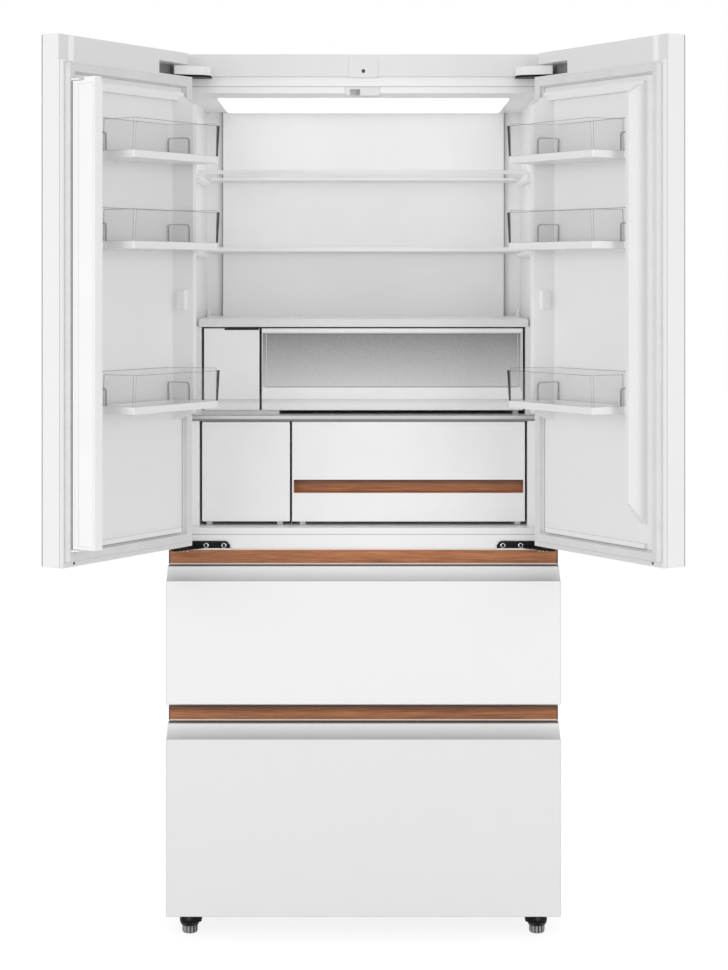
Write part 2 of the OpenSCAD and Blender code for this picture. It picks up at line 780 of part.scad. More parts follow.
condenser_side = 70;
condenser_l = 150;
condenser_h = 124;
tray_h_low = 26;
condenser_x = condenser_side - half_w;
condenser_z = base_z + tray_h_low;
condenser_fan_at = [condenser_x + condenser_l + 12, cab_d - machine_d / 2, condenser_z + condenser_h / 2 + 2];
module condenser() placed() color("#5a5a5a") {
    fins = 20;
    for (i = [0 : fins - 1]) {
        x = condenser_x + i * (condenser_l - 2) / (fins - 1);
        slab([x, x + 1.5], [machine_y + 40, cab_d - 40], [condenser_z, condenser_z + condenser_h]);
    }
    for (up = [0.15 : 0.24 : 0.88], y = [machine_y + 70, cab_d - 70])
        rod_x([condenser_x - 8, y, condenser_z + up * condenser_h], 4, condenser_l + 16);
    difference() {
        slab([condenser_fan_at[0] - 8, condenser_fan_at[0]], [machine_y + 36, cab_d - 36],
            [condenser_z, condenser_z + condenser_h + 6]);
        translate([-9, 0, 0]) rod_x(condenser_fan_at, fan_r + 2, 10);
    }
    translate(condenser_fan_at) {
        for (turn = [0 : 90 : 270]) rotate([turn, 0, 0]) slab([-4, 0], [-4, 4], [0, fan_r + 4]);
        rod_x([-4, 0, 0], 16, 12);
        rod_x([-4, 0, 0], 2, 40);
    }
}

module drip_tray() placed() color("dimgray") {
    rim_x = [condenser_x - 15, condenser_x + condenser_l + 40];
    difference() {
        slab(rim_x, [machine_y + 30, cab_d - 25], [base_z, condenser_z]);
        slab([rim_x[0] + 3, rim_x[1] - 3], [machine_y + 42, cab_d - 42], [base_z + 3, condenser_z + eps]);
    }
}

board_w = 160;
board_h = 110;
board_down = 40;
module control_board() placed() color("seagreen") {
    board_x = [-board_w / 2, board_w / 2];
    board_z = [machine_top - board_h - board_down, machine_top - board_down];
    slab(board_x, [machine_y + 12, machine_y + 14], board_z);
    for (x = [board_x[0] + 10, board_x[1] - 10], z = [board_z[0] + 10, board_z[1] - 10])
        rod_y([x, machine_y, z], 4, 13);
    slab([board_x[0] + 30, board_x[0] + 70], [machine_y + 14, machine_y + 40],
        [board_z[0] + 20, board_z[0] + 60]);
    slab([board_x[1] - 50, board_x[1] - 15], [machine_y + 14, machine_y + 30],
        [board_z[0] + 30, board_z[0] + 90]);
}

module blade_ring(r, depth) {
    hub_r = 18;
    difference() {
        cylinder(r = hub_r, h = depth);
        translate([0, 0, -eps]) cylinder(r = 2 + pin_clear, h = depth + 2 * eps);
    }
    for (turn = [0 : 60 : 300]) rotate([0, 0, turn]) translate([hub_r - 2, 0, depth / 2]) rotate([35, 0, 0])
        translate([0, -12, -1]) cube([r - hub_r, 24, 2]);
}

module evaporator_fan() placed() color("lightgray") {
    translate([fan_x, cover_y + 16, fan_z]) rotate([-90, 0, 0]) blade_ring(fan_r - 3, 20);
}

module condenser_fan() placed() color("gray") {
    translate(condenser_fan_at) translate([12, 0, 0]) rotate([0, 90, 0]) blade_ring(fan_r - 3, 20);
}

module door_panel() {
    slab([free_x, half_w], [face_y, skin_y], [door_z0, door_z1]);
}

module door_core(grow) {
    slab([free_x + frame_t, half_w - post_t], [skin_y - grow, plate_y + grow],
        [door_z0 + frame_t, body_z1 - frame_t]);
}

module door_frame() {
    difference() {
        union() {
            slab([free_x, half_w], [skin_y, plate_y], [door_z0, body_z1]);
            slab([free_x, half_w], [skin_y, band_y], [body_z1, door_z1]);
        }
        door_core(eps);
        slab([half_w - pocket_len, half_w + eps], [face_y + pocket_wall, band_y + eps],
            [body_z1, body_z1 + pocket_h]);
        rod([pin_x, pin_y, body_z1 - pin_len - 1], pin_r + pin_clear, pin_len + 1 + eps);
        rod([pin_x, pin_y, door_z0 - eps], pin_r + pin_clear, pin_len + 4 + eps);
    }
}

module dyke(x_out, x_crest, x_in, z0, z0_crest) {
    intersection() {
        up_z([z0, dyke_top], [[x_out, back_y], [x_out, back_y + dyke_p], [x_crest, back_y + dyke_p],
            [x_in, back_y]]);
        along_x([0, half_w], [[back_y - eps, z0 - eps], [back_y, z0], [back_y + dyke_p, z0_crest],
            [back_y + dyke_p, dyke_top - dyke_slope], [back_y, dyke_top], [back_y - eps, dyke_top]]);
    }
}

module door_liner() {
    door_core(0);
    slab([free_x, half_w], [plate_y, back_y], [door_z0, body_z1]);
    dyke(dyke_x, crest_x, dyke_x - dyke_root, hinge_dyke_z, hinge_dyke_z + 16);
    dyke(dyke_free, dyke_free + dyke_crest, dyke_free + dyke_root, free_dyke_z, free_dyke_z + 43);
    slab([dyke_free, dyke_x], [back_y, back_y + lip_p], [dyke_top - 18, dyke_top - 1]);
    slab([dyke_free, dyke_x], [back_y, back_y + lip_p * 0.7], [fridge_z0 + 3, fridge_z0 + 12]);
    slab([dyke_x - dyke_root - 3, crest_x], [back_y + dyke_p * 0.3, back_y + dyke_p * 0.72],
        [bin_stop_z, bin_stop_z + bin_stop_h]);
}

module door_gasket(z0, z1, x0, x1) {
    difference() {
        slab([x0, x1], [back_y, -seal_clear], [z0, z1]);
        slab([x0 + seal_w, x1 - seal_w], [back_y - eps, eps], [z0 + seal_w, z1 - seal_w]);
    }
}

module seal_ring() {
    door_gasket(door_z0 + seal_low, body_z1 - seal_top, free_x + seal_free, half_w - seal_side);
}

// Plan of a bin: a shoulder at the free dyke, and a nose that reaches over the hinge dyke
function bin_plan() = [[shoulder_x, 0], [bin_x1, 0], [bin_x1, dyke_p], [dyke_x, dyke_p], [dyke_x, bin_p],
    [bin_x0, bin_p], [bin_x0, shoulder_p], [shoulder_x, shoulder_p]];

module bin_tray(z) {
    difference() {
        translate([0, back_y, z - tray_h]) linear_extrude(tray_h) polygon(bin_plan());
        slab([bin_x0 + 4, bin_x1 - 4], [back_y + 4, back_y + bin_p - 5], [z - tray_h + 3, z + eps]);
    }
}

module bin_guard(z) {
    front = back_y + bin_p;
    along_x([bin_x0, dyke_x], [[front - guard_t, z], [front, z], [front + guard_lean, z + guard_h],
        [front + guard_lean - guard_t, z + guard_h]]);
    along_x([bin_x0, bin_x0 + guard_t], [[back_y + shoulder_p, z], [front - guard_t, z],
        [front + guard_lean - guard_t, z + guard_h], [back_y + shoulder_p, z + guard_h]]);
    along_x([guard_x1 - guard_t, guard_x1], [[back_y + 2, z], [back_y + 57, z], [back_y + 57, z + 30],
        [back_y + 49, z + 38], [back_y + 2, z + 38]]);
    slab([bin_x0, guard_x1], [back_y, back_y + guard_t], [z, z + guard_h + guard_rise]);
    up_z([z, z + guard_h], [[guard_x1, back_y], [crest_x, back_y + dyke_p + 2], [dyke_x, front],
        [dyke_x - guard_t - 1, front], [crest_x - guard_t, back_y + dyke_p + 3],
        [guard_x1 - guard_t, back_y + guard_t]]);
}

function bin_tops() = [fridge_z1 - top_bin_down, fridge_z1 - middle_bin_down, fridge_z0 + low_bin_up];

module bin_trays() {
    for (z = bin_tops()) bin_tray(z);
}

module bin_guards() {
    for (z = bin_tops()) bin_guard(z);
}

mullion_z0 = fridge_z0 + 7;
mullion_z1 = fridge_z1 - 13;
cap_w = 28;
module mullion_brackets() {
    seal_edge = free_x + seal_free + seal_w + 0.5;
    for (z = [mullion_z0 - 5, mullion_z1 + 1]) {
        slab([seal_edge, mullion_x + 12], [back_y, mullion_y + 9], [z, z + 4]);
        slab([mullion_x - 10, mullion_x + 12], [mullion_y - mullion_e - 1, mullion_y + 9], [z, z + 4]);
    }
    rod([mullion_x, mullion_y, mullion_z0 - 2], mullion_pin_r, 18);
    rod([mullion_x, mullion_y, mullion_z1 - 16], mullion_pin_r, 18);
}

module left_door_panel() on_left_door() color("white") door_panel();
module left_door_frame() on_left_door() color("white") door_frame();
module left_door_liner() on_left_door() color("whitesmoke") {
    door_liner();
    mullion_brackets();
}
module left_door_gasket() on_left_door() color("gainsboro") seal_ring();
module left_bin_trays() on_left_door() color("white") bin_trays();
module left_bin_guards() on_left_door() color("#dfe8ea") bin_guards();

module right_door_panel() on_right_door() color("white") door_panel();
module right_door_frame() on_right_door() color("white") door_frame();
module right_door_liner() on_right_door() color("whitesmoke") door_liner();
module right_door_gasket() on_right_door() color("gainsboro") seal_ring();
module right_bin_trays() on_right_door() color("white") bin_trays();
module right_bin_guards() on_right_door() color("#dfe8ea") bin_guards();

// The mullion is drawn folded against the open left door
module flip_mullion() on_left_door() color("white") difference() {
    union() {
        slab([mullion_x0, mullion_x0 + mullion_t], [mullion_y0, mullion_y0 + mullion_w],
            [mullion_z0, mullion_z1]);
        slab([mullion_x0 + 2, mullion_x0 + mullion_t - 2],
            [mullion_y0 + mullion_w - cap_w, mullion_y0 + mullion_w - 1], [mullion_z1 - eps, mullion_z1 + 7]);
    }
    rod([mullion_x, mullion_y, mullion_z0 - eps], mullion_pin_r + pin_clear, 18 + eps);
    rod([mullion_x, mullion_y, mullion_z1 - 17], mullion_pin_r + pin_clear, 18 + eps);
}

module freezer_panel(z0, z1) {
    slab([-half_w, half_w], [face_y, skin_y], [z0, z1 - grip_h]);
}

// Body of a drawer front, with a hollow grip edge along its top
module freezer_body(z0, z1) {
    chord = [grip_d, grip_h];
    len = norm(chord);
    rise = sqrt(grip_r * grip_r - len * len / 4);
    centre = [face_y + grip_d / 2 - rise * grip_h / len, z1 - grip_h / 2 + rise * grip_d / len];
    difference() {
        union() {
            slab([-half_w, half_w], [skin_y, back_y], [z0, z1]);
            slab([-half_w, half_w], [face_y, skin_y], [z1 - grip_h, z1]);
        }
        rod_x([-half_w - eps, centre[0], centre[1]], grip_r, cab_w + 2 * eps, $fn = 96);
    }
}

module freezer_gasket(z0, z1) {
    door_gasket(z0 + seal_low - 2, z1 - seal_low + 2, seal_side - half_w, half_w - seal_side);
}

module basket(x, y1, z) {
    difference() {
        slab([-x, x], [back_y, y1], z);
        slab([basket_wall - x, x - basket_wall], [back_y + basket_wall, y1 - basket_wall],
            [z[0] + basket_wall, z[1] + eps]);
    }
}

module rail_pair(z, y1) {
    both_sides() {
        slab([basket_x, rail_x], [back_y + 20, y1 - 6], [z - channel_h / 2 + channel_t + rail_clear,
            z + channel_h / 2 - channel_t - rail_clear]);
    }
}

module upper_freezer_panel() placed() color("white") freezer_panel(up_z0, up_z1);
module upper_freezer_body() placed() color("gainsboro") freezer_body(up_z0, up_z1);
module upper_freezer_gasket() placed() color("gray") freezer_gasket(up_z0, up_z1);
module upper_freezer_basket() placed() color("white") {
    basket(basket_x, upper_basket_y, [up_z0 + seal_margin + 8, up_z1 - seal_margin - 20]);
}
module upper_freezer_rails() placed() color("silver") rail_pair(up_rail_z, upper_basket_y);

module lower_freezer_panel() placed() color("white") freezer_panel(low_z0, low_z1);
module lower_freezer_body() placed() color("gainsboro") freezer_body(low_z0, low_z1);
module lower_freezer_gasket() placed() color("gray") freezer_gasket(low_z0, low_z1);
module lower_freezer_basket() placed() color("white") {
    basket(basket_x, lower_basket_y, [low_z0 + seal_margin + 8, low_z1 - seal_margin - 20]);
}
module lower_freezer_rails() placed() color("silver") rail_pair(low_rail_z, lower_basket_y);

// An open drawer box with a front plate
module drawer_box(x, y, z, rim) {
    slab(x, [y[0], y[0] + drawer_front_t], z);
    difference() {
        slab(x, [y[0] + drawer_front_t, y[1]], [z[0], z[1] - rim]);
        slab([x[0] + drawer_wall, x[1] - drawer_wall], [y[0] + drawer_front_t, y[1] - drawer_wall],
            [z[0] + drawer_wall, z[1] + eps]);
    }
}

module scoop(x, z) {
    rod_x([x[0] - eps, row_top_y - 5, z + scoop_r - 1], scoop_r, x[1] - x[0] + 2 * eps);
}

tank_x = [-inner_x, split_top - drawer_gap / 2];
chill_x = [split_top + drawer_gap / 2, inner_x];
module water_tank() placed() color("white") difference() {
    drawer_box(tank_x, [row_top_y, drawer_end], [top_front_z, top_front_z + top_front_h], 12);
    scoop(tank_x, top_front_z);
}

window_z = [top_front_z + 49, top_front_z + top_front_h - 14];
module chill_tray() placed() color("white") difference() {
    drawer_box(chill_x, [row_top_y, drawer_end], [top_front_z, top_front_z + top_front_h], 12);
    scoop(chill_x, top_front_z);
    slab([chill_x[0] + 8, chill_x[1] - 8], [row_top_y - eps, row_top_y + drawer_front_t + eps], window_z);
}

module chill_window() placed() color("#9a9a9a") {
    slab([chill_x[0] + 8, chill_x[1] - 8], [row_top_y + 3, row_top_y + 6], window_z);
}

module small_drawer() placed() color("white") {
    drawer_box([-inner_x, split_low - drawer_gap / 2], [row_low_y, drawer_end],
        [front_low_z, front_low_z + front_low_h], 12);
}

low_x = [split_low + drawer_gap / 2, inner_x];
module chill_drawer() placed() color("white") difference() {
    drawer_box(low_x, [row_low_y, drawer_end], [front_low_z, front_low_z + front_low_h], 12);
    slab([low_x[0] + 3, low_x[1] - 3], [row_low_y - eps, row_low_y + drawer_front_t + eps], recess_z);
}

module chill_drawer_grip() placed() color("sienna") {
    difference() {
        slab([low_x[0] + 3, low_x[1] - 3], [row_low_y + 4, row_low_y + walnut_recess + 4], recess_z);
        slab([low_x[0] + 5, low_x[1] - 5], [row_low_y + 4 - eps, row_low_y + walnut_recess],
            [recess_z[0] + 1, recess_z[1] - 1]);
    }
}

// Knurled levelling foot on its stem
module foot() {
    flutes = 16;
    difference() {
        rod([half_w - foot_side, foot_y, 0], foot_r, foot_h);
        for (i = [0 : flutes - 1]) translate([half_w - foot_side, foot_y, 4]) rotate([0, 0, i * 360 / flutes])
            translate([foot_r + 0.6, 0, 0]) cylinder(r = 1.6, h = foot_h, $fn = 16);
    }
    rod([half_w - foot_side, foot_y, foot_h - 1], stem_r, 14);
}

module left_foot() placed() color("gray") mirror([1, 0, 0]) foot();
module right_foot() placed() color("gray") foot();

module roller() {
    difference() {
        rod_x([roller_x - roller_w / 2, roller_y, roller_r], roller_r, roller_w);
        rod_x([roller_x - roller_w / 2 - eps, roller_y, roller_r], axle_r + pin_clear, roller_w + 2 * eps);
    }
}

module left_roller() placed() color("dimgray") mirror([1, 0, 0]) roller();
module right_roller() placed() color("dimgray") roller();

cabinet_shell();
cabinet_foam();
fridge_liner();
freezer_liner();
rear_panel();
machine_cover();
base_frame();
header_cover();
mullion_guide();
walnut_strips();
door_hinges();
hinge_covers();
hinge_screws();
duct_panels();
ceiling_light();
shelf_glass();
shelf_trims();
cover_shelf();
divider_shelf();
slide_channels();
evaporator();
compressor();
condenser();
drip_tray();
control_board();
left_door_panel();
left_door_frame();
left_door_liner();
left_door_gasket();
left_bin_trays();
left_bin_guards();
right_door_panel();
right_door_frame();
right_door_liner();
right_door_gasket();
right_bin_trays();
right_bin_guards();
flip_mullion();
upper_freezer_panel();
upper_freezer_body();
upper_freezer_gasket();
upper_freezer_basket();
upper_freezer_rails();
lower_freezer_panel();
lower_freezer_body();
lower_freezer_gasket();
lower_freezer_basket();
lower_freezer_rails();
water_tank();
chill_tray();
chill_window();
small_drawer();
chill_drawer();
chill_drawer_grip();
left_foot();
right_foot();
left_roller();
right_roller();
evaporator_fan();
condenser_fan();
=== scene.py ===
"""Looks for a multi-door refrigerator: the finish of each part, clear door bins, seals and fittings."""

import json
import math
from types import SimpleNamespace

import bmesh
import bpy
from bpy.props import FloatProperty, FloatVectorProperty, PointerProperty
from mathutils import Matrix, Vector


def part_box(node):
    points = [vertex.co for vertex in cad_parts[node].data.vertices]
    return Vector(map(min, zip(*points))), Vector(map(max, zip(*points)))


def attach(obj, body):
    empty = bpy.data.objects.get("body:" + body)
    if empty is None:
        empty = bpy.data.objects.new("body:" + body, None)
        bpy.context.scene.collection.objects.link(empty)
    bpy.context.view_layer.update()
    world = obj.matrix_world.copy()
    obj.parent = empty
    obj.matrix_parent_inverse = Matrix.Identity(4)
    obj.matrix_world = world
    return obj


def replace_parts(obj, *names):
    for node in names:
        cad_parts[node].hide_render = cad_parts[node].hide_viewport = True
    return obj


bl_info = {
    "name": "Multi-door refrigerator",
    "version": (1, 0, 0),
    "blender": (4, 5, 0),
    "location": "View3D > Sidebar > Refrigerator",
    "description": "Finishes and fittings of a refrigerator with French doors and freezer drawers",
    "category": "Object",
}

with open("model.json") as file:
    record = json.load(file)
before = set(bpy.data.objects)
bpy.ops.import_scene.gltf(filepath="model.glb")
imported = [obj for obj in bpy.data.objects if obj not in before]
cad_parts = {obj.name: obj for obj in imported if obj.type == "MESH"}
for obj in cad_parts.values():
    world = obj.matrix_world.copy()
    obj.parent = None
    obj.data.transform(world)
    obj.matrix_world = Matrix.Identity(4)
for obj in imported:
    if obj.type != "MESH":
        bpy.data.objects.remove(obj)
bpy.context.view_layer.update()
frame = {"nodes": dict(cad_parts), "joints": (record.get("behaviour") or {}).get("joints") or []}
NODES = frame["nodes"]
JOINTS = {joint["name"]: joint for joint in frame["joints"]}
MM = 0.001
SMOOTH_DEG = 40  # flatter edges than this are shaded smooth on round pieces
FRONT, UP = (0, -1, 0), (0, 0, 1)
SIDES = ("left", "right")
CLEAR, EDGE, END, HOOK = range(4)  # the four finishes of a bin guard, in their order; the edge and end finishes are painted shade for the dark lines of its edges
SEAL_WIDTH = 18.0  # millimetres across a seal's section
LENS_MM = 75.771
LENS_SHIFT = (0.0006, -0.20985)
FLOOR_REACH = 20.0  # metres from the middle of the floor to its edges
FLOOR_GLOW, FLOOR_GREY = 0.87, 0.24  # light of its own, and the share that a shadow can take away
WORLD_LEVEL = 0.66
PANEL_GLOW = 0.52
CELL_MM = 1.5  # across a cell of the insulating foam
PAINTED_SHADE_MM, PAINTED_SHADE_SHARE = 16, 0.22  # depth of the painted shade along the veneer's top edge, and its tone at the top
FOLD_MARGIN = 1.01  # triangles that cover more than this share of their faces show a fold
LAMPS = {
    "key_left": ((-3.0, -3.6, 1.5), (0, 0, 0.9), (1.8, 2.4), 49),
    "key_right": ((3.0, -3.6, 1.5), (0, 0, 0.9), (1.8, 2.4), 42),
    "front": ((0, -5.4, 1.7), (0, 0, 0.9), (2.6, 2.2), 6),
    "inside": ((0, 0.05, 1.53), (0, 1.0, 1.46), (0.6, 0.34), 0.36),
}


# Colour and node helpers

def srgb(code):
    """The linear colour of an sRGB hex code, such as F2F3F3."""
    values = [int(code[i:i + 2], 16) / 255 for i in (0, 2, 4)]
    return tuple(v / 12.92 if v <= 0.04045 else ((v + 0.055) / 1.055) ** 2.4 for v in values)


def node(tree, kind, inputs=(), **settings):
    """Adds a node, sets its properties, and fills its inputs with values or other nodes' outputs."""
    made = tree.nodes.new(kind)
    for name, value in settings.items():
        setattr(made, name, value)
    for key, value in dict(inputs).items():
        if isinstance(value, bpy.types.NodeSocket):
            tree.links.new(value, made.inputs[key])
        else:
            made.inputs[key].default_value = value
    return made


def shader(name, colour, roughness, **sockets):
    """A material with a Principled shader; returns the material, its tree and the shader."""
    material = bpy.data.materials.new(name)
    material.use_nodes = True
    tree = material.node_tree
    bsdf = tree.nodes["Principled BSDF"]
    bsdf.inputs["Base Color"].default_value = (*colour, 1)
    bsdf.inputs["Roughness"].default_value = roughness
    for key, value in sockets.items():
        bsdf.inputs[key.replace("_", " ")].default_value = value
    return material, tree, bsdf


def place(tree, stretch=(1, 1, 1)):
    """The point on the object in metres, stretched along its axes."""
    coords = node(tree, "ShaderNodeTexCoord")
    return node(tree, "ShaderNodeMapping", {"Vector": coords.outputs["Object"], "Scale": stretch}).outputs[0]


def grain(tree, spacing_mm, stretch=(1, 1, 1), detail=2.0, rough=0.5):
    """A noise whose blotches are spacing_mm across."""
    scale = 1 / (spacing_mm * MM)
    inputs = {"Vector": place(tree, stretch), "Scale": scale, "Detail": detail, "Roughness": rough}
    return node(tree, "ShaderNodeTexNoise", inputs).outputs[0]


def relief(tree, bsdf, height, depth_mm, strength=1.0):
    """Bumps the shader by a pattern that is depth_mm deep."""
    bump = node(tree, "ShaderNodeBump", {"Height": height, "Distance": depth_mm * MM, "Strength": strength})
    tree.links.new(bump.outputs[0], bsdf.inputs["Normal"])


def tinted(tree, bsdf, factor, low, high, start=0.35, end=0.65):
    """Colours the shader between two colours as the factor goes from start to end."""
    ramp = node(tree, "ShaderNodeValToRGB", {"Fac": factor})
    ramp.color_ramp.elements[0].position = start
    ramp.color_ramp.elements[0].color = (*low, 1)
    ramp.color_ramp.elements[1].position = end
    ramp.color_ramp.elements[1].color = (*high, 1)
    tree.links.new(ramp.outputs[0], bsdf.inputs["Base Color"])
    return ramp


def textured(name, colour, roughness, bumps, blotches=None, detail=2.0, **sockets):
    """A material with bumps of (spacing, depth, strength) and blotches of (spacing, darkest share), in mm."""
    material, tree, bsdf = shader(name, colour, roughness, **sockets)
    spacing_mm, depth_mm, strength = bumps
    relief(tree, bsdf, grain(tree, spacing_mm, detail=detail), depth_mm, strength)
    if blotches:
        tinted(tree, bsdf, grain(tree, blotches[0]), shaded(colour, blotches[1]), colour)
    return material


def height_share(tree, z_low, z_high, share_low=0.0, share_high=1.0):
    """A share that goes from one value to another between two heights in metres, and the height itself."""
    coords = node(tree, "ShaderNodeTexCoord")
    height = node(tree, "ShaderNodeSeparateXYZ", {0: coords.outputs["Object"]}).outputs["Z"]
    share = node(tree, "ShaderNodeMapRange", {"Value": height, "From Min": z_low, "From Max": z_high,
                                              "To Min": share_low, "To Max": share_high})
    return share.outputs[0], height


def shaded(colour, share):
    """A colour made darker to that share of itself."""
    return tuple(channel * share for channel in colour)


def facing(tree, direction):
    """How squarely the surface looks along a direction: one if it faces it, minus one if it looks away."""
    coords = node(tree, "ShaderNodeTexCoord")
    return node(tree, "ShaderNodeVectorMath", {0: coords.outputs["Normal"], 1: tuple(direction)},
                operation="DOT_PRODUCT").outputs["Value"]


# Materials

def enamelled_steel(name, colour):
    """Sheet steel with baked enamel: an even satin white with a faint orange peel about 3 mm across."""
    return textured(name, colour, 0.38, (3.0, 0.03, 0.35), (180, 0.985), IOR=1.5)


def lacquered_glass(name, colour, edge, front):
    """Tempered glass lacquered on its back: an even white under a smooth face, and grey cut edges."""
    material, tree, bsdf = shader(name, colour, 0.3, IOR=1.52, Coat_Weight=0.5, Coat_Roughness=0.12)
    squarely = node(tree, "ShaderNodeMath", {0: facing(tree, front)}, operation="ABSOLUTE")
    tinted(tree, bsdf, squarely.outputs[0], edge, colour, 0.6, 0.97)
    relief(tree, bsdf, grain(tree, 260, detail=0.0), 0.05, 0.2)
    return material


def grip_enamel(name, colour, z_low, z_high):
    """Enamel of a drawer's sloped grip edge, with painted light and shade: paler towards its top, darker
    towards its foot.
    """
    material, tree, bsdf = shader(name, colour, 0.3, IOR=1.5)
    share = height_share(tree, z_low, z_high)[0]
    tinted(tree, bsdf, share, shaded(colour, 0.84), shaded(colour, 1.08), 0.1, 1.0)
    relief(tree, bsdf, grain(tree, 3.0), 0.03, 0.3)
    return material


def vacuum_formed_styrene(name, colour):
    """Vacuum formed polystyrene: a satin white whose drawn sheet waves slightly every 60 mm or so."""
    return textured(name, colour, 0.34, (60, 0.12, 0.3), (220, 0.985), 1.0, IOR=1.59)


def door_frame_abs(name, colour, inner, share):
    """Extruded ABS of a door's frame: white on its edges, with painted shade greying the faces that look to
    its inner side.
    """
    material, tree, bsdf = shader(name, colour, 0.36, IOR=1.54)
    tinted(tree, bsdf, facing(tree, inner), colour, shaded(colour, share), 0.5, 0.9)
    relief(tree, bsdf, grain(tree, 0.9, detail=1.0), 0.015, 0.3)
    return material


def moulded_abs(name, colour, roughness=0.32):
    """Injection moulded ABS: an even colour with a spark-eroded texture 0.9 mm across, as fine as shows."""
    return textured(name, colour, roughness, (0.9, 0.015, 0.3), (90, 0.98), 1.0, IOR=1.54)


def clear_styrene(name, colour, least, most):
    """Clear moulded styrene: nearly invisible face on, and grey where its walls are seen edge on."""
    material, tree, bsdf = shader(name, colour, 0.06, IOR=1.5, Alpha=least)
    weight = node(tree, "ShaderNodeLayerWeight", {"Blend": 0.3})
    alpha = node(tree, "ShaderNodeMapRange", {"Value": weight.outputs["Facing"], "To Min": least,
                                              "To Max": most})
    tree.links.new(alpha.outputs[0], bsdf.inputs["Alpha"])
    relief(tree, bsdf, grain(tree, 30, detail=0.0), 0.05, 0.2)
    return material


def tempered_glass(name, colour):
    """Tempered float glass with its faint green cast."""
    return textured(name, colour, 0.04, (120, 0.02, 0.2), detail=0.0, IOR=1.52, Alpha=0.08)


def smoked_window(name, dark, light, z_low, z_high):
    """Acrylic printed with grey dots, with painted shade: dark along its top and fading to pale grey at its
    foot.

    The dots are 0.8 mm across; they are drawn as 2.4 mm blotches, the finest that the picture shows.
    """
    material, tree, bsdf = shader(name, dark, 0.15, IOR=1.49)
    share = height_share(tree, z_low, z_high)[0]
    dots = node(tree, "ShaderNodeMath", {0: grain(tree, 2.4, detail=0.0), 1: 0.22, 2: -0.11},
                operation="MULTIPLY_ADD")
    total = node(tree, "ShaderNodeMath", {0: share, 1: dots.outputs[0]}, operation="ADD")
    tinted(tree, bsdf, total.outputs[0], light, dark, 0.0, 1.0)
    relief(tree, bsdf, grain(tree, 40, detail=0.0), 0.02, 0.2)
    return material


def opal_acrylic(name, colour):
    """The diffuser of the ceiling light, lit evenly from behind."""
    material, tree, bsdf = shader(name, colour, 0.5, IOR=1.49)
    bsdf.inputs["Emission Color"].default_value = (*colour, 1)
    bsdf.inputs["Emission Strength"].default_value = PANEL_GLOW
    relief(tree, bsdf, grain(tree, 1.2), 0.02, 0.2)
    return material


def walnut_veneer(name, pale, dark, top):
    """Walnut-toned veneer: grain lines 2.6 mm apart along the strip, with painted shade darkening it just
    below a top edge.
    """
    material, tree, bsdf = shader(name, pale, 0.42, IOR=1.5)
    lines = grain(tree, 2.6, (0.035, 1, 1), detail=4.0, rough=0.7)
    figure = grain(tree, 16, (0.05, 1, 1), detail=3.0)
    mixed = node(tree, "ShaderNodeMix", {"Factor": 0.3, "A": lines, "B": figure})
    ramp = tinted(tree, bsdf, mixed.outputs[0], dark, pale, 0.34, 0.64)
    # painted shade: the veneer darkens towards its top edge, where the drawer or lip above casts shade
    painted_shade, height = height_share(tree, top - PAINTED_SHADE_MM * MM, top, 1.0, PAINTED_SHADE_SHARE)
    above = node(tree, "ShaderNodeMath", {0: height, 1: top + MM}, operation="GREATER_THAN")
    share = node(tree, "ShaderNodeMath", {0: painted_shade, 1: above.outputs[0]}, operation="MAXIMUM")
    darkened = node(tree, "ShaderNodeVectorMath", {0: ramp.outputs[0], "Scale": share.outputs[0]},
                   operation="SCALE")
    tree.links.new(darkened.outputs["Vector"], bsdf.inputs["Base Color"])
    relief(tree, bsdf, grain(tree, 0.9, (0.02, 1, 1)), 0.06, 0.5)
    return material


def brushed_metal(name, colour, roughness=0.3):
    """Rolled aluminium or zinc-plated steel, brushed along its length with lines 0.4 mm apart."""
    material, tree, bsdf = shader(name, colour, roughness, Metallic=1.0)
    relief(tree, bsdf, grain(tree, 0.4, (0.01, 1, 1)), 0.02, 0.4)
    tinted(tree, bsdf, grain(tree, 25, (0.1, 1, 1)), shaded(colour, 0.9), colour)
    return material


def polished_metal(name, colour):
    """Chromed steel screw heads: mirror bright, with faint turned marks."""
    return textured(name, colour, 0.12, (0.5, 0.01, 0.3), Metallic=1.0)


def dipped_black(name, colour):
    """Steel with a dipped black coat: nearly black, satin, with a slight roughness about 1 mm across."""
    return textured(name, colour, 0.4, (1.0, 0.03, 0.5), (12, 0.7), 3.0, IOR=1.24)


def seal_elastomer(name, colour):
    """Extruded seal: a soft matt elastomer with a slight bloom."""
    return textured(name, colour, 0.6, (1.5, 0.02, 0.3), (40, 0.96), IOR=1.5, Sheen_Weight=0.1,
                    Sheen_Roughness=0.4)


def joint_silicone(name, colour):
    """Silicone drawn along a joint by hand: matt, with slow waves 2 mm apart."""
    return textured(name, colour, 0.7, (2.0, 0.02, 0.3), IOR=1.43)


def infrared_window(name, colour):
    """Moulded acrylic that only infrared light passes: nearly black, with a mirror-like face."""
    return textured(name, colour, 0.08, (4.0, 0.005, 0.2), IOR=1.5, Coat_Weight=1.0)


def shade_strip_foam(name, colour):
    """Cut polyurethane foam strip with open cells 1.5 mm across: quite matt."""
    return textured(name, colour, 0.95, (1.5, 0.2, 0.5))


def roller_nylon(name, colour):
    """Moulded nylon of the rollers: a dark satin, scuffed about 1 mm across."""
    return textured(name, colour, 0.5, (1.0, 0.02, 0.4), IOR=1.53)


def rigid_foam(name, colour):
    """Expanded polyurethane: a dry, pitted yellow with cells about 1.5 mm across."""
    material, tree, bsdf = shader(name, colour, 0.9, IOR=1.45)
    cells = node(tree, "ShaderNodeTexVoronoi", {"Vector": place(tree), "Scale": 1 / (CELL_MM * MM)})
    relief(tree, bsdf, cells.outputs[0], 0.4, 0.6)
    tinted(tree, bsdf, grain(tree, 20), shaded(colour, 0.88), colour)
    return material


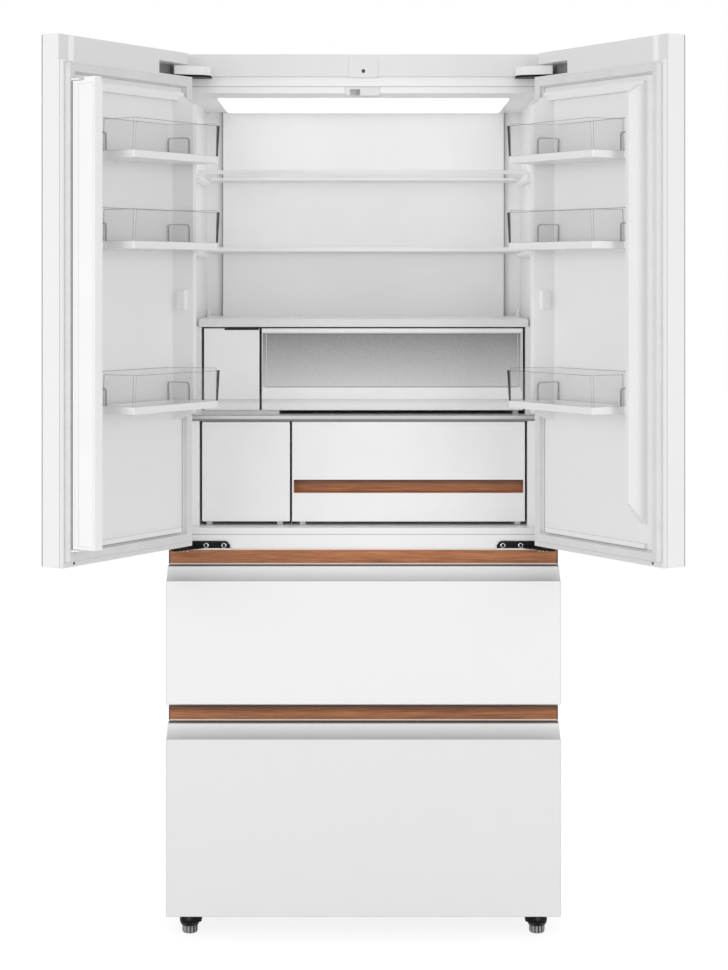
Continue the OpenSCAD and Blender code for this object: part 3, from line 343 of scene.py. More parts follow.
def circuit_board(name, colour):
    """Glass-epoxy board under green solder resist."""
    material, tree, bsdf = shader(name, colour, 0.25, IOR=1.55)
    tracks = node(tree, "ShaderNodeTexBrick", {"Vector": place(tree), "Scale": 160.0})
    tinted(tree, bsdf, tracks.outputs["Fac"], colour, shaded(colour, 0.6), 0.0, 1.0)
    relief(tree, bsdf, tracks.outputs["Fac"], 0.05, 0.4)
    return material


# Mesh helpers

def finish_mesh(name, bm, materials, body, smooth_deg=None, turn=Matrix.Identity(4)):
    """Makes a bmesh in millimetres, turned by a matrix, into a finished piece that rides on a body."""
    bmesh.ops.transform(bm, matrix=turn @ Matrix.Diagonal((MM, MM, MM, 1)), verts=bm.verts)
    bmesh.ops.remove_doubles(bm, verts=bm.verts, dist=MM / 1000)
    bmesh.ops.recalc_face_normals(bm, faces=bm.faces)
    mesh = bpy.data.meshes.new(name)
    bm.to_mesh(mesh)
    bm.free()
    for material in materials:
        mesh.materials.append(material)
    piece = bpy.data.objects.new(name, mesh)
    bpy.context.scene.collection.objects.link(piece)
    if smooth_deg is not None:
        mesh.shade_smooth()
        mesh.set_sharp_from_angle(angle=math.radians(smooth_deg))
    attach(piece, body)
    return piece


def add_slab(bm, low, high, rounding=0.0):
    """A box between two corners, with its edges rounded."""
    made = bmesh.ops.create_cube(bm, size=1.0)
    size = Vector(high) - Vector(low)
    middle = (Vector(high) + Vector(low)) / 2
    shape = Matrix.Translation(middle) @ Matrix.Diagonal((*size, 1))
    bmesh.ops.transform(bm, verts=made["verts"], matrix=shape)
    if rounding:
        edges = list(dict.fromkeys(edge for vert in made["verts"] for edge in vert.link_edges))
        bmesh.ops.bevel(bm, geom=edges, offset=rounding, segments=2, affect="EDGES", profile=0.5)


def join_loops(bm, one, two, first=0):
    """Faces between two closed loops with the same number of points, from the first point on."""
    one_next, two_next = one[1:] + one[:1], two[1:] + two[:1]
    return [bm.faces.new(corners) for corners in list(zip(one, one_next, two_next, two))[first:]]


def add_prism(bm, outline, z_low, z_high):
    """A solid with the given outline in X and Y, from z_low to z_high."""
    lower, upper = ([bm.verts.new((x, y, z)) for x, y in outline] for z in (z_low, z_high))
    bm.faces.new(lower[::-1])
    bm.faces.new(upper)
    join_loops(bm, lower, upper)


def add_ring(bm, low, high, profile):
    """Sweeps a profile of (inset, y) points round the rectangle between two corners, with mitred corners."""
    loops = []
    for inset, y in profile:
        corners = ((low.x + inset, low.z + inset), (high.x - inset, low.z + inset),
                   (high.x - inset, high.z - inset), (low.x + inset, high.z - inset))
        loops.append([bm.verts.new((x, y, z)) for x, z in corners])
    for one, two in zip(loops, loops[1:] + loops[:1]):
        join_loops(bm, one, two)


def add_lathe(bm, centre, axis, profile, sides=32):
    """Turns a profile of (radius, height) points about an axis through a point."""
    turn = Vector(UP).rotation_difference(Vector(axis)).to_matrix().to_4x4()
    base = Matrix.Translation(centre) @ turn
    rings = []
    for radius, height in profile:
        angles = [2 * math.pi * k / sides for k in range(sides if radius else 1)]
        rings.append([bm.verts.new(base @ Vector((radius * math.cos(a), radius * math.sin(a), height)))
                      for a in angles])
    for low, high in zip(rings, rings[1:]):
        for k in range(sides):
            corners = {low[k % len(low)]: 0, low[(k + 1) % len(low)]: 0,
                       high[(k + 1) % len(high)]: 0, high[k % len(high)]: 0}
            if len(corners) > 2:
                bm.faces.new(list(corners))


def arc(centre, radius, start_deg, end_deg, count):
    """Points along an arc in a plane."""
    angles = [math.radians(start_deg + (end_deg - start_deg) * k / (count - 1)) for k in range(count)]
    return [(centre[0] + radius * math.cos(a), centre[1] + radius * math.sin(a)) for a in angles]


def covered(part):
    """Whether a rounded part's triangles cover no more than its faces: a folded face closes an opening."""
    shape = part.evaluated_get(bpy.context.evaluated_depsgraph_get())
    mesh = shape.to_mesh()
    mesh.calc_loop_triangles()
    faces, triangles = (sum(face.area for face in faces) for faces in (mesh.polygons, mesh.loop_triangles))
    shape.to_mesh_clear()
    return triangles < faces * FOLD_MARGIN


def soften(part, round_mm):
    """Rounds a CAD part's sharp edges with modifiers alone; a part that would fold stays plain."""
    weld = part.modifiers.new("joined", "WELD")
    weld.merge_threshold = 1e-5
    flat = part.modifiers.new("flat", "DECIMATE")
    flat.decimate_type = "DISSOLVE"
    flat.angle_limit = math.radians(0.5)
    edge = part.modifiers.new("edges", "BEVEL")
    edge.width = round_mm * MM
    edge.segments = 2
    edge.limit_method = "ANGLE"
    edge.angle_limit = math.radians(30)
    edge.use_clamp_overlap = True
    part.modifiers.new("shading", "WEIGHTED_NORMAL")
    if not covered(part):
        part.modifiers.clear()


def paint(material, *names, round_mm=0.0):
    """Gives CAD parts a finish and soft edges."""
    for name in names:
        for slot in NODES[name].material_slots:
            slot.material = material
        if round_mm:
            soften(NODES[name], round_mm)


# Places taken from the frame, in millimetres

def box(name):
    """Lowest and highest corner of a CAD part."""
    return tuple(Vector(corner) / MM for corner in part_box(name))


def levels(name, gap=100.0, axis=2):
    """Lowest and highest place along an axis of each group of a part's points, with gaps between them."""
    heights = sorted({round(vertex.co[axis] / MM, 2) for vertex in NODES[name].data.vertices})
    groups = [[heights[0]]]
    for height in heights[1:]:
        if height - groups[-1][-1] > gap:
            groups.append([])
        groups[-1].append(height)
    return [(group[0], group[-1]) for group in groups]


def swing(side):
    """The matrix that carries a closed door to where it stands open at rest."""
    hinge = JOINTS[f"{side}_door_hinge"]
    pin = Matrix.Translation(Vector(hinge["pos_m"]))
    angle = math.radians(-hinge["range_deg"][0])
    return pin @ Matrix.Rotation(angle, 4, Vector(hinge["axis"])) @ pin.inverted()


def door_turn(side):
    """Carries a point of the closed right door to the same place on either open door."""
    mirror = Matrix.Diagonal((-1 if side == "left" else 1, 1, 1, 1))
    return swing(side) @ mirror


def closed_points(side, name):
    """The points of a door part with the door closed."""
    back = swing(side).inverted()
    return [back @ vertex.co / MM for vertex in NODES[name].data.vertices]


def closed_box(side, name):
    """Lowest and highest corner of a door part with the door closed."""
    points = closed_points(side, name)
    return tuple(Vector([pick(point[i] for point in points) for i in range(3)]) for pick in (min, max))


# Settings

class FridgeColours(bpy.types.PropertyGroup):
    """Colours of the refrigerator's finishes."""

    enamel: FloatVectorProperty(name="Enamel", description="Painted steel of the cabinet", subtype="COLOR",
                                default=srgb("F8F8F8"))
    front: FloatVectorProperty(name="Fronts", description="Lacquered glass of doors and drawers",
                               subtype="COLOR", default=srgb("F5F5F5"))
    liner: FloatVectorProperty(name="Liner", description="Formed liners of cabinet and doors",
                               subtype="COLOR", default=srgb("F6F6F6"))
    moulding: FloatVectorProperty(name="Mouldings", description="White moulded plastic", subtype="COLOR",
                                  default=srgb("F3F3F3"))
    walnut: FloatVectorProperty(name="Walnut", description="Pale lines of the walnut veneer", subtype="COLOR",
                                default=srgb("C68354"))
    walnut_dark: FloatVectorProperty(name="Walnut pores", description="Dark lines of the walnut veneer",
                                     subtype="COLOR", default=srgb("854A28"))
    surround: FloatVectorProperty(name="Grip edge", description="Pale grey grip edge of the drawer fronts",
                                  subtype="COLOR", default=srgb("E6E6E6"))
    glass_edge: FloatVectorProperty(name="Glass edges", description="Cut edges of the glass fronts",
                                    subtype="COLOR", default=srgb("85888A"))
    seal: FloatVectorProperty(name="Seals", description="Door seals", subtype="COLOR", default=srgb("E6E6E6"))
    door_frame: FloatVectorProperty(name="Door frames", description="Plastic frames of the doors",
                                    subtype="COLOR", default=srgb("F3F3F3"))


class FridgeSizes(bpy.types.PropertyGroup):
    """Sizes of the refrigerator's small fittings and of the studio."""

    edge_round: FloatProperty(name="Edge radius", description="Rounding of moulded edges, in millimetres",
                              default=1.2, min=0.2, max=3.0)
    lens_radius: FloatProperty(name="Sensor radius", description="Radius of the sensor lens in the header",
                               default=0.0046, unit="LENGTH")
    view_distance: FloatProperty(name="View distance", description="Camera in front of the cabinet",
                                 default=4.2557, unit="LENGTH")
    view_height: FloatProperty(name="View height", description="Camera above the floor", default=1.36065,
                               unit="LENGTH")


# Stage

def make_camera(sizes):
    """The photograph's viewpoint: level, straight on, with the picture's centre well below the camera."""
    data = bpy.data.cameras.new("front_view")
    data.sensor_width = 36.0
    data.lens = LENS_MM
    data.shift_x, data.shift_y = LENS_SHIFT
    data.clip_end = 60.0
    camera = bpy.data.objects.new("front_view", data)
    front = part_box("cabinet_shell")[0][1]
    camera.location = (0, front - sizes.view_distance, sizes.view_height)
    camera.rotation_euler = (math.radians(90), 0, 0)
    bpy.context.scene.collection.objects.link(camera)
    bpy.context.scene.camera = camera


def seen_directly(tree):
    """One for rays from the camera, in reflections and through glass; zero for rays that only carry light."""
    path = node(tree, "ShaderNodeLightPath")
    glossy, passed = path.outputs["Is Glossy Ray"], path.outputs["Is Transmission Ray"]
    shiny = node(tree, "ShaderNodeMath", {0: glossy, 1: passed}, operation="MAXIMUM")
    return node(tree, "ShaderNodeMath", {0: path.outputs["Is Camera Ray"], 1: shiny.outputs[0]},
                operation="MAXIMUM").outputs[0]


def make_world(strength):
    """An even white studio: plain light on the object, and pure white where it is seen."""
    world = bpy.data.worlds.new("studio")
    world.use_nodes = True
    bpy.context.scene.world = world
    tree = world.node_tree
    tree.nodes.clear()
    light = node(tree, "ShaderNodeBackground", {"Color": (1, 1, 1, 1), "Strength": strength})
    white = node(tree, "ShaderNodeBackground", {"Color": (1, 1, 1, 1), "Strength": 1.0})
    both = node(tree, "ShaderNodeMixShader", {0: seen_directly(tree), 1: light.outputs[0],
                                              2: white.outputs[0]})
    node(tree, "ShaderNodeOutputWorld", {"Surface": both.outputs[0]})


def studio_floor_paint(name):
    """Matt white studio floor, bright enough to vanish into the backdrop while it keeps a soft shadow."""
    material, tree, bsdf = shader(name, srgb("DCDCDC"), 0.9)
    shadowed = node(tree, "ShaderNodeBsdfDiffuse", {"Color": (FLOOR_GREY, FLOOR_GREY, FLOOR_GREY, 1)})
    glow = node(tree, "ShaderNodeEmission", {"Color": (1, 1, 1, 1), "Strength": FLOOR_GLOW})
    bright = node(tree, "ShaderNodeAddShader", {0: shadowed.outputs[0], 1: glow.outputs[0]})
    both = node(tree, "ShaderNodeMixShader", {0: seen_directly(tree), 1: bsdf.outputs[0],
                                              2: bright.outputs[0]})
    tree.links.new(both.outputs[0], tree.nodes["Material Output"].inputs["Surface"])
    return material


def make_floor():
    """A large pale floor under the feet."""
    bm = bmesh.new()
    corners = ((-1, -1), (1, -1), (1, 1), (-1, 1))
    bm.faces.new([bm.verts.new((x * FLOOR_REACH, y * FLOOR_REACH, 0)) for x, y in corners])
    mesh = bpy.data.meshes.new("floor")
    bm.to_mesh(mesh)
    bm.free()
    mesh.materials.append(studio_floor_paint("studio_floor"))
    floor = bpy.data.objects.new("floor", mesh)
    bpy.context.scene.collection.objects.link(floor)


def make_softbox(name, place_m, target_m, size_m, power):
    """A large rectangular lamp aimed at a point."""
    data = bpy.data.lights.new(name, "AREA")
    data.shape = "RECTANGLE"
    data.size, data.size_y = size_m
    data.energy = power
    lamp = bpy.data.objects.new(name, data)
    lamp.location = place_m
    aim = Vector(target_m) - Vector(place_m)
    lamp.rotation_euler = aim.to_track_quat("-Z", "Y").to_euler()
    lamp.visible_camera = False
    bpy.context.scene.collection.objects.link(lamp)


class FRIDGE_OT_stage(bpy.types.Operator):
    """Makes the camera, the floor, the studio light and the lamps"""

    bl_idname = "fridge.stage"
    bl_label = "Studio"

    def execute(self, context):
        make_camera(context.scene.fridge_sizes)
        make_world(WORLD_LEVEL)
        make_floor()
        for name, (place_m, target_m, size_m, power) in LAMPS.items():
            make_softbox(name, place_m, target_m, size_m, power)
        return {"FINISHED"}


# Pieces

class FRIDGE_OT_cabinet(bpy.types.Operator):
    """Finishes the cabinet, its back and its header"""

    bl_idname = "fridge.cabinet"
    bl_label = "Cabinet"

    def execute(self, context):
        colours = context.scene.fridge_colours
        sizes = context.scene.fridge_sizes
        paint(enamelled_steel("enamelled_steel", colours.enamel), "cabinet_shell", round_mm=1.5)
        zinc = brushed_metal("galvanised_steel", srgb("B9BCBE"), 0.4)
        paint(zinc, "rear_panel", "slide_channels", round_mm=0.3)
        paint(rigid_foam("polyurethane_foam", srgb("D9CFA2")), "cabinet_foam")
        header = moulded_abs("header_abs", shaded(colours.moulding, 0.9), 0.36)
        paint(header, "header_cover", "mullion_guide", round_mm=sizes.edge_round)
        guide_slot_shade()
        sensor_lens(sizes.lens_radius / MM)
        liner_joint()
        return {"FINISHED"}


def guide_slot_shade():
    """Grey wedge of painted shade inside the slot of the guide block that turns the folding mullion."""
    low, high = box("mullion_guide")
    bm = bmesh.new()
    outline = [(-14, low.y + 12), (-9, low.y + 1.5), (-7, low.y + 1.5), (-7, low.y + 12)]
    add_prism(bm, outline, low.z + 2, high.z - 6)
    finish_mesh("guide_slot_shade", bm, [moulded_abs("guide_shade_abs", srgb("A9A9A9"), 0.4)], "cabinet")


def liner_joint():
    """Fine grey joint where the lip of the fridge liner meets the steel front."""
    low, high = box("fridge_liner")
    front = box("cabinet_shell")[0].y
    width, back, face = 1.3, front + 0.1, front - 0.2
    bm = bmesh.new()
    add_ring(bm, low, high, [(-width, back), (-width, face), (0, face), (0, back)])
    filler = joint_silicone("joint_silicone", srgb("B9B9B9"))
    finish_mesh("liner_joint", bm, [filler], "cabinet")


def sensor_lens(radius):
    """Dark domed lens of the sensor in the middle of the header."""
    low, high = box("header_cover")
    bm = bmesh.new()
    add_lathe(bm, (0, low.y + 1.5, high.z - 35), FRONT,
              [(0, -4), (radius, -4), (radius, 0), (radius * 0.92, 0.7), (radius * 0.6, 1.3), (0, 1.5)])
    dark = infrared_window("infrared_window", srgb("101012"))
    finish_mesh("sensor_lens", bm, [dark], "cabinet", SMOOTH_DEG)


class FRIDGE_OT_interior(bpy.types.Operator):
    """Finishes the liners, the rear duct panel and the ceiling light"""

    bl_idname = "fridge.interior"
    bl_label = "Interior"

    def execute(self, context):
        colours = context.scene.fridge_colours
        liner = vacuum_formed_styrene("vacuum_formed_liner", colours.liner)
        paint(liner, "fridge_liner", "freezer_liner", round_mm=2.0)
        paint(moulded_abs("duct_abs", shaded(colours.moulding, 0.95), 0.4), "duct_panels", round_mm=2.0)
        paint(opal_acrylic("opal_acrylic", srgb("FFFFFF")), "ceiling_light", round_mm=1.0)
        duct_shade_strips()
        cover_stops()
        return {"FINISHED"}


def duct_shade_strips():
    """Grey foam strips of painted shade in the gaps between the rear duct panel's sides and the liner."""
    floor_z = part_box("divider_shelf")[0][2]
    fridge = [vertex.co / MM for vertex in NODES["duct_panels"].data.vertices if vertex.co.z > floor_z]
    half, top = max(point.x for point in fridge), max(point.z for point in fridge)
    face, back = min(point.y for point in fridge), max(point.y for point in fridge)
    bm = bmesh.new()
    for side in (-1, 1):
        near, far = sorted((side * (half + 0.2), side * (half + 2.4)))
        add_slab(bm, (near, face + 3, box("cover_shelf")[1].z), (far, back, top), 0.4)
    finish_mesh("duct_shade_strips", bm, [shade_strip_foam("shade_strip_foam", srgb("A6A6A6"))], "cabinet")


def cover_stops():
    """Small rounded stops that hold down the rear corners of the cover shelf."""
    high = box("cover_shelf")[1]
    bm = bmesh.new()
    for side in (-1, 1):
        add_lathe(bm, (side * (high.x + 7), high.y - 9, high.z - 1), UP,
                  [(0, 0), (7, 0), (7, 3), (4, 5), (3.4, 13), (2, 15), (0, 15.4)], sides=20)
    white = moulded_abs("stop_abs", srgb("F3F3F3"), 0.3)
    finish_mesh("cover_stops", bm, [white], "cabinet", SMOOTH_DEG)


class FRIDGE_OT_shelves(bpy.types.Operator):
    """Finishes the glass shelves, the cover shelf and the divider"""

    bl_idname = "fridge.shelves"
    bl_label = "Shelves"

    def execute(self, context):
        colours = context.scene.fridge_colours
        paint(tempered_glass("tempered_glass", srgb("EEF1F0")), "shelf_glass", round_mm=0.5)
        paint(moulded_abs("trim_abs", colours.moulding), "shelf_trims", round_mm=0.8)
        shelf = moulded_abs("shelf_abs", shaded(colours.moulding, 0.88))
        paint(shelf, "cover_shelf", "divider_shelf", round_mm=1.2)
        divider_trim()
        return {"FINISHED"}


def divider_trim():
    """Aluminium lip over the front edge of the divider shelf, and grey strips of painted shade under the lip
    and along its top.
    """
    low, high = box("shelf_trims")
    bottom, top = levels("shelf_trims")[0]
    half, front = high.x - 0.5, low.y
    bm = bmesh.new()
    add_slab(bm, (-half, front - 0.9, top - 6.6), (half, front + 0.5, top + 0.6), 0.4)
    add_slab(bm, (-half, front - 0.4, top - 0.2), (half, front + 8, top + 0.6), 0.3)
    metal = brushed_metal("anodised_aluminium", srgb("C2C2C2"), 0.4)
    finish_mesh("divider_trim", bm, [metal], "cabinet")
    bm = bmesh.new()
    add_slab(bm, (-half, front - 0.3, bottom + 0.2), (half, front + 0.5, top - 6.6), 0.2)
    add_slab(bm, (-half, front - 1, top + 0.7), (half, front - 0.2, top + 1.5), 0.2)
    rubber = seal_elastomer("divider_shade_rubber", srgb("868787"))
    finish_mesh("divider_shade_strips", bm, [rubber], "cabinet")


class FRIDGE_OT_inner_drawers(bpy.types.Operator):
    """Finishes the water tank and the inner drawers"""

    bl_idname = "fridge.inner_drawers"
    bl_label = "Inner drawers"

    def execute(self, context):
        colours = context.scene.fridge_colours
        abs_white = moulded_abs("drawer_abs", srgb("F7F7F7"), 0.28)
        paint(abs_white, "water_tank", "chill_tray", "small_drawer", round_mm=1.2)
        paint(abs_white, "chill_drawer")
        wood = walnut_veneer("walnut_veneer_bar", colours.walnut, colours.walnut_dark,
                             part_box("chill_drawer_grip")[1][2])
        paint(wood, "chill_drawer_grip")
        chill_window()
        tank_shade_strip()
        return {"FINISHED"}


def tank_shade_strip():
    """Dark strip of painted shade along the lid of the water tank, at its front edge, under the cover shelf.
    """
    low, high = box("water_tank")
    bm = bmesh.new()
    add_slab(bm, (low.x + 44, low.y - 0.4, high.z - 3.6), (high.x - 1, low.y + 3, high.z + 0.4), 0.2)
    finish_mesh("tank_shade_strip", bm, [seal_elastomer("tank_shade_rubber", srgb("141415"))], "tank_body")


def chill_window():
    """Grey printed window over the face of the chill tray, with painted shade along its top, its clear ribs
    and rim.
    """
    low, high = box("chill_window")
    tray_low, tray_high = box("chill_tray")
    left, right, face, top = tray_low.x + 2.6, tray_high.x - 5.4, tray_low.y, high.z + 3.2
    bm = bmesh.new()
    add_slab(bm, (left, face - 0.8, low.z + 1), (right, face - 0.1, top), 0.2)
    add_slab(bm, (low.x + 1, face - 0.4, low.z + 2), (high.x - 1, high.y, high.z - 1))
    window = smoked_window("smoked_acrylic", srgb("8C8C8C"), srgb("D4D4D4"), low.z * MM, high.z * MM)
    pane = finish_mesh("window_pane", bm, [window], "chill_tray_body")
    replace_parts(pane, "chill_window")
    bm = bmesh.new()
    for x in (left + 6.6, right - 6):
        add_slab(bm, (x, face - 2, low.z + 2), (x + 1.4, face - 1.2, top - 1), 0.3)
    for x in (tray_low.x + 0.3, tray_high.x - 4.4):
        add_slab(bm, (x, face - 1.8, low.z - 8), (x + 1.6, face + 0.2, top + 3), 0.4)
    add_slab(bm, (left - 2, face - 2.2, top), (right + 2, face + 0.2, top + 2.4), 0.5)
    rim = moulded_abs("window_rim_styrene", srgb("D9DADA"), 0.15)
    finish_mesh("window_rim", bm, [rim], "chill_tray_body")
    # painted shade: a dark strip along the top of the window
    bm = bmesh.new()
    add_slab(bm, (left, face - 1.7, top - 2.4), (right, face - 1.2, top), 0.2)
    shade = moulded_abs("window_shade_styrene", srgb("7C7D7E"), 0.2)
    finish_mesh("window_shade", bm, [shade], "chill_tray_body")


class FRIDGE_OT_doors(bpy.types.Operator):
    """Finishes the doors and the folding mullion"""

    bl_idname = "fridge.doors"
    bl_label = "Doors"

    def execute(self, context):
        colours = context.scene.fridge_colours
        cap = moulded_abs("end_cap_abs", srgb("FAFAFA"), 0.25)
        frame_drop, flange_drop, lip_drop = 0.07, 0.1, 0.03  # painted shade: how much darker than the liner each part is made
        # painted shade: the left door's liner, frame, flange and seal are darker than the right door's
        for side, share in (("left", 0.96), ("right", 0.98)):
            front = swing(side).to_3x3() @ Vector(FRONT)
            glass = lacquered_glass(f"lacquered_glass_{side}", colours.front, colours.glass_edge, front)
            paint(glass, f"{side}_door_panel", round_mm=2.6)
            edging = door_frame_abs(f"door_frame_abs_{side}", colours.door_frame, -front, share - frame_drop)
            paint(edging, f"{side}_door_frame", round_mm=1.2)
            liner = vacuum_formed_styrene(f"door_liner_styrene_{side}", shaded(colours.liner, share))
            paint(liner, f"{side}_door_liner", round_mm=3.0)
            flange(side, shaded(colours.liner, share - flange_drop), shaded(colours.liner, share - lip_drop))
            door_seal(side, shaded(colours.seal, share))
            end_cap(side, cap)
            stopper(side)
            pocket_shade(side)
        paint(moulded_abs("mullion_abs", srgb("FCFCFC"), 0.3), "flip_mullion", round_mm=2.0)
        mullion_beads(moulded_abs("mullion_bead_abs", srgb("E6E6E6"), 0.3))
        return {"FINISHED"}


def door_piece(side, name, bm, materials, smooth_deg=None, carry=door_turn):
    """A finished piece of a door, carried from the closed door to where the door stands."""
    return finish_mesh(f"{side}_{name}", bm, materials, f"{side}_door", smooth_deg, carry(side))


def flange(side, colour, pale):
    """Flange of a door's liner, which runs round the seal to the door's edges, darker than the liner as
    painted shade, and its fine edge line of painted shadow.
    """
    door = door_edges(side)
    low, high = closed_box(side, f"{side}_door_gasket")
    inner, outer = sorted((abs(low.x), abs(high.x)))
    depth = (low.y - 0.4, low.y + 0.2)
    whole = (door.floor_z + 0.8, door.body_top - 0.8)
    edge_x = (door.near - 0.2, door.near + 0.6)
    strips = {
        "flange": (colour, ((outer, door.far - 0.8), depth, whole),
                   ((inner, outer), depth, (whole[0], low.z)), ((inner, outer), depth, (high.z, whole[1]))),
        "flange_lip": (pale, ((door.near + 0.6, inner), depth, whole),
                       (edge_x, (door.plate_y - 4, low.y + 0.2), whole)),
        "flange_shadow_line": (srgb("8F8F8F"), (edge_x, (door.plate_y - 4.9, door.plate_y - 4), whole)),
    }
    for name, (tone, *places) in strips.items():
        bm = bmesh.new()
        for ranges in places:
            add_slab(bm, *zip(*ranges))
        door_piece(side, name, bm, [vacuum_formed_styrene(f"{name}_styrene_{side}", tone)])


def door_edges(side):
    """Edges of a closed door's frame: its X from the middle, and the Y and Z of its plate, band and body."""
    low, high = closed_box(side, f"{side}_door_frame")
    near, far = sorted((abs(low.x), abs(high.x)))
    top_points = [point for point in closed_points(side, f"{side}_door_frame") if point.z > high.z - 0.1]
    return SimpleNamespace(near=near, far=far, band_y=max(point.y for point in top_points), plate_y=high.y,
                           body_top=closed_box(side, f"{side}_door_liner")[1].z, floor_z=low.z, top=high.z)


def end_cap(side, material):
    """Raised joint of the end cap across the thin band at the top of a door."""
    door = door_edges(side)
    low_x, high_x = door.near + 29, door.near + 43.5
    outline = [(low_x, door.band_y - 0.5), (low_x + 1.5, door.band_y + 0.4), (high_x - 4, door.band_y + 1.6),
               (high_x, door.band_y + 1.6), (high_x, door.band_y - 0.5)]
    bm = bmesh.new()
    add_prism(bm, outline, door.body_top + 0.5, door.top - 0.6)
    door_piece(side, "end_cap", bm, [material])


def stopper(side):
    """Small dark plug in the lower corner of a door's plate."""
    door = door_edges(side)
    back_y = closed_box(side, f"{side}_door_gasket")[0].y
    bm = bmesh.new()
    add_lathe(bm, (door.near + 33, back_y - 0.5, door.floor_z + 6.4), (0, 1, 0),
              [(0, 0), (2.6, 0), (2.6, 1.2), (1.6, 2), (0, 2.2)], sides=20)
    rubber = seal_elastomer(f"plug_rubber_{side}", srgb("3B3B3C"))
    door_piece(side, "plug", bm, [rubber], SMOOTH_DEG)


def pocket_shade(side):
    """Dark grey sheet of painted shade at the root of the pocket that the top hinge sweeps through."""
    door = door_edges(side)
    skin_y = closed_box(side, f"{side}_door_panel")[1].y
    outline = [(door.far - 78, skin_y + 3.1), (door.far - 2, skin_y + 3.1), (door.far - 2, skin_y + 4.4),
               (door.far - 60, skin_y + 4.4)]
    bm = bmesh.new()
    add_prism(bm, outline, door.body_top + 0.4, door.body_top + 26.6)
    dark = moulded_abs(f"pocket_shade_abs_{side}", srgb("8C8C8C"), 0.5)
    door_piece(side, "pocket_shade", bm, [dark])


def mullion_beads(material):
    """Fine beads round the outer face of the folding mullion, greyer than the face as painted shade of its
    fine lines.
    """
    low, high = closed_box("left", "flip_mullion")
    shoulder = max(point.z for point in closed_points("left", "flip_mullion") if point.x > high.x - 0.01)
    face, raised, bead = high.x - 0.2, high.x + 0.35, 1.2
    lines = (low.y + 5, low.y + 13, high.y - 4.6)
    bm = bmesh.new()
    for y in lines:
        add_slab(bm, (face, y, low.z + 5), (raised, y + bead, shoulder - 5), 0.2)
    for z in (low.z + 5, shoulder - 5 - bead):
        add_slab(bm, (face, lines[1] + bead, z), (raised, lines[2], z + bead), 0.2)
    finish_mesh("mullion_beads", bm, [material], "mullion", SMOOTH_DEG, swing("left"))


def add_seal(bm, low, high):
    """Sweeps a seal's section round a door or drawer: a foot, a soft fold and a flat magnet pocket."""
    depth = high.y - low.y
    section = ((0, 0), (0, 0.82), (0.05, 0.96), (0.1, 1), (0.82, 1), (0.88, 0.94), (0.9, 0.35), (1, 0.25),
               (1, 0))
    add_ring(bm, low, high, [(SEAL_WIDTH * across, low.y + depth * out) for across, out in section])


def door_seal(side, colour):
    """Bellows seal round a door's inside, and dark rings of painted shade along both its edges."""
    name = f"{side}_door_gasket"
    low, high = closed_box(side, name)
    bm = bmesh.new()
    add_seal(bm, low, high)
    rubber = seal_elastomer(f"seal_elastomer_{side}", colour)
    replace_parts(door_piece(side, "door_seal", bm, [rubber], carry=swing), name)
    bm = bmesh.new()
    for start in (-1.2, SEAL_WIDTH):
        section = ((0, 0.1), (0, 0.7), (1.2, 0.7), (1.2, 0.1))
        add_ring(bm, low, high, [(start + across, low.y + out) for across, out in section])
    dark = seal_elastomer(f"seal_shade_elastomer_{side}", srgb("C3C4C4"))
    door_piece(side, "seal_shade_rings", bm, [dark], carry=swing)


def drawer_seal(level):
    """Bellows seal behind a drawer front."""
    name = f"{level}_freezer_gasket"
    bm = bmesh.new()
    add_seal(bm, *box(name))
    rubber = seal_elastomer(f"seal_elastomer_{level}", srgb("9A9A9A"))
    seal = finish_mesh(f"{level}_drawer_seal", bm, [rubber], f"{level}_freezer_drawer")
    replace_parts(seal, name)


class FRIDGE_OT_bins(bpy.types.Operator):
    """Finishes the door bins"""

    bl_idname = "fridge.bins"
    bl_label = "Door bins"

    def execute(self, context):
        colours = context.scene.fridge_colours
        tray = moulded_abs("bin_abs", colours.moulding, 0.25)
        clear = clear_styrene("clear_styrene", srgb("C2C4C5"), 0.05, 0.25)
        # painted shade: the edge and end finishes are dark where the clear walls are seen edge on
        edge = clear_styrene("clear_styrene_edges", srgb("5E6062"), 0.4, 0.8)
        dark = clear_styrene("clear_styrene_end", srgb("2E2F31"), 0.75, 0.95)
        pale = clear_styrene("clear_styrene_hooks", srgb("E4E4E4"), 0.1, 0.2)
        for side in SIDES:
            paint(tray, f"{side}_bin_trays", round_mm=1.5)
            for i, z in enumerate(levels(f"{side}_bin_guards")):
                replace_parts(bin_guard(side, i, z, (clear, edge, dark, pale)), f"{side}_bin_guards")
        return {"FINISHED"}


def add_wall(bm, path, z, wall, lean, rim, marked=()):
    """A clear upright wall along a path, leaning out to its top, with a rim and marked spans dark with
    painted shade.
    """
    columns = []
    for i, (x, y) in enumerate(path):
        before, after = path[max(i - 1, 0)], path[min(i + 1, len(path) - 1)]
        along = Vector((after[0] - before[0], after[1] - before[1])).normalized()
        across = Vector((-along.y, along.x)) * wall
        out = lean if abs(across.y) > abs(across.x) else lean * 0.5
        columns.append([(bm.verts.new((x, y + out * share, height)),
                         bm.verts.new((x - across.x, y - across.y + out * share, height)))
                        for height, share in ((z[0], 0.0), (z[1] - rim, 1.0), (z[1], 1.0))])
    for i, (one, two) in enumerate(zip(columns, columns[1:])):
        for k in range(2):
            for side in range(k + 1):
                face = bm.faces.new((one[k][side], two[k][side], two[k + 1][side], one[k + 1][side]))
                face.material_index = EDGE if (k == 1 or i in marked) and side == 0 else CLEAR
        bm.faces.new((one[-1][0], two[-1][0], two[-1][1], one[-1][1])).material_index = CLEAR
        bm.faces.new((one[0][0], two[0][0], two[0][1], one[0][1])).material_index = EDGE
    for end in (columns[0], columns[-1]):
        for k in range(2):
            bm.faces.new((end[k][0], end[k][1], end[k + 1][1], end[k + 1][0])).material_index = EDGE


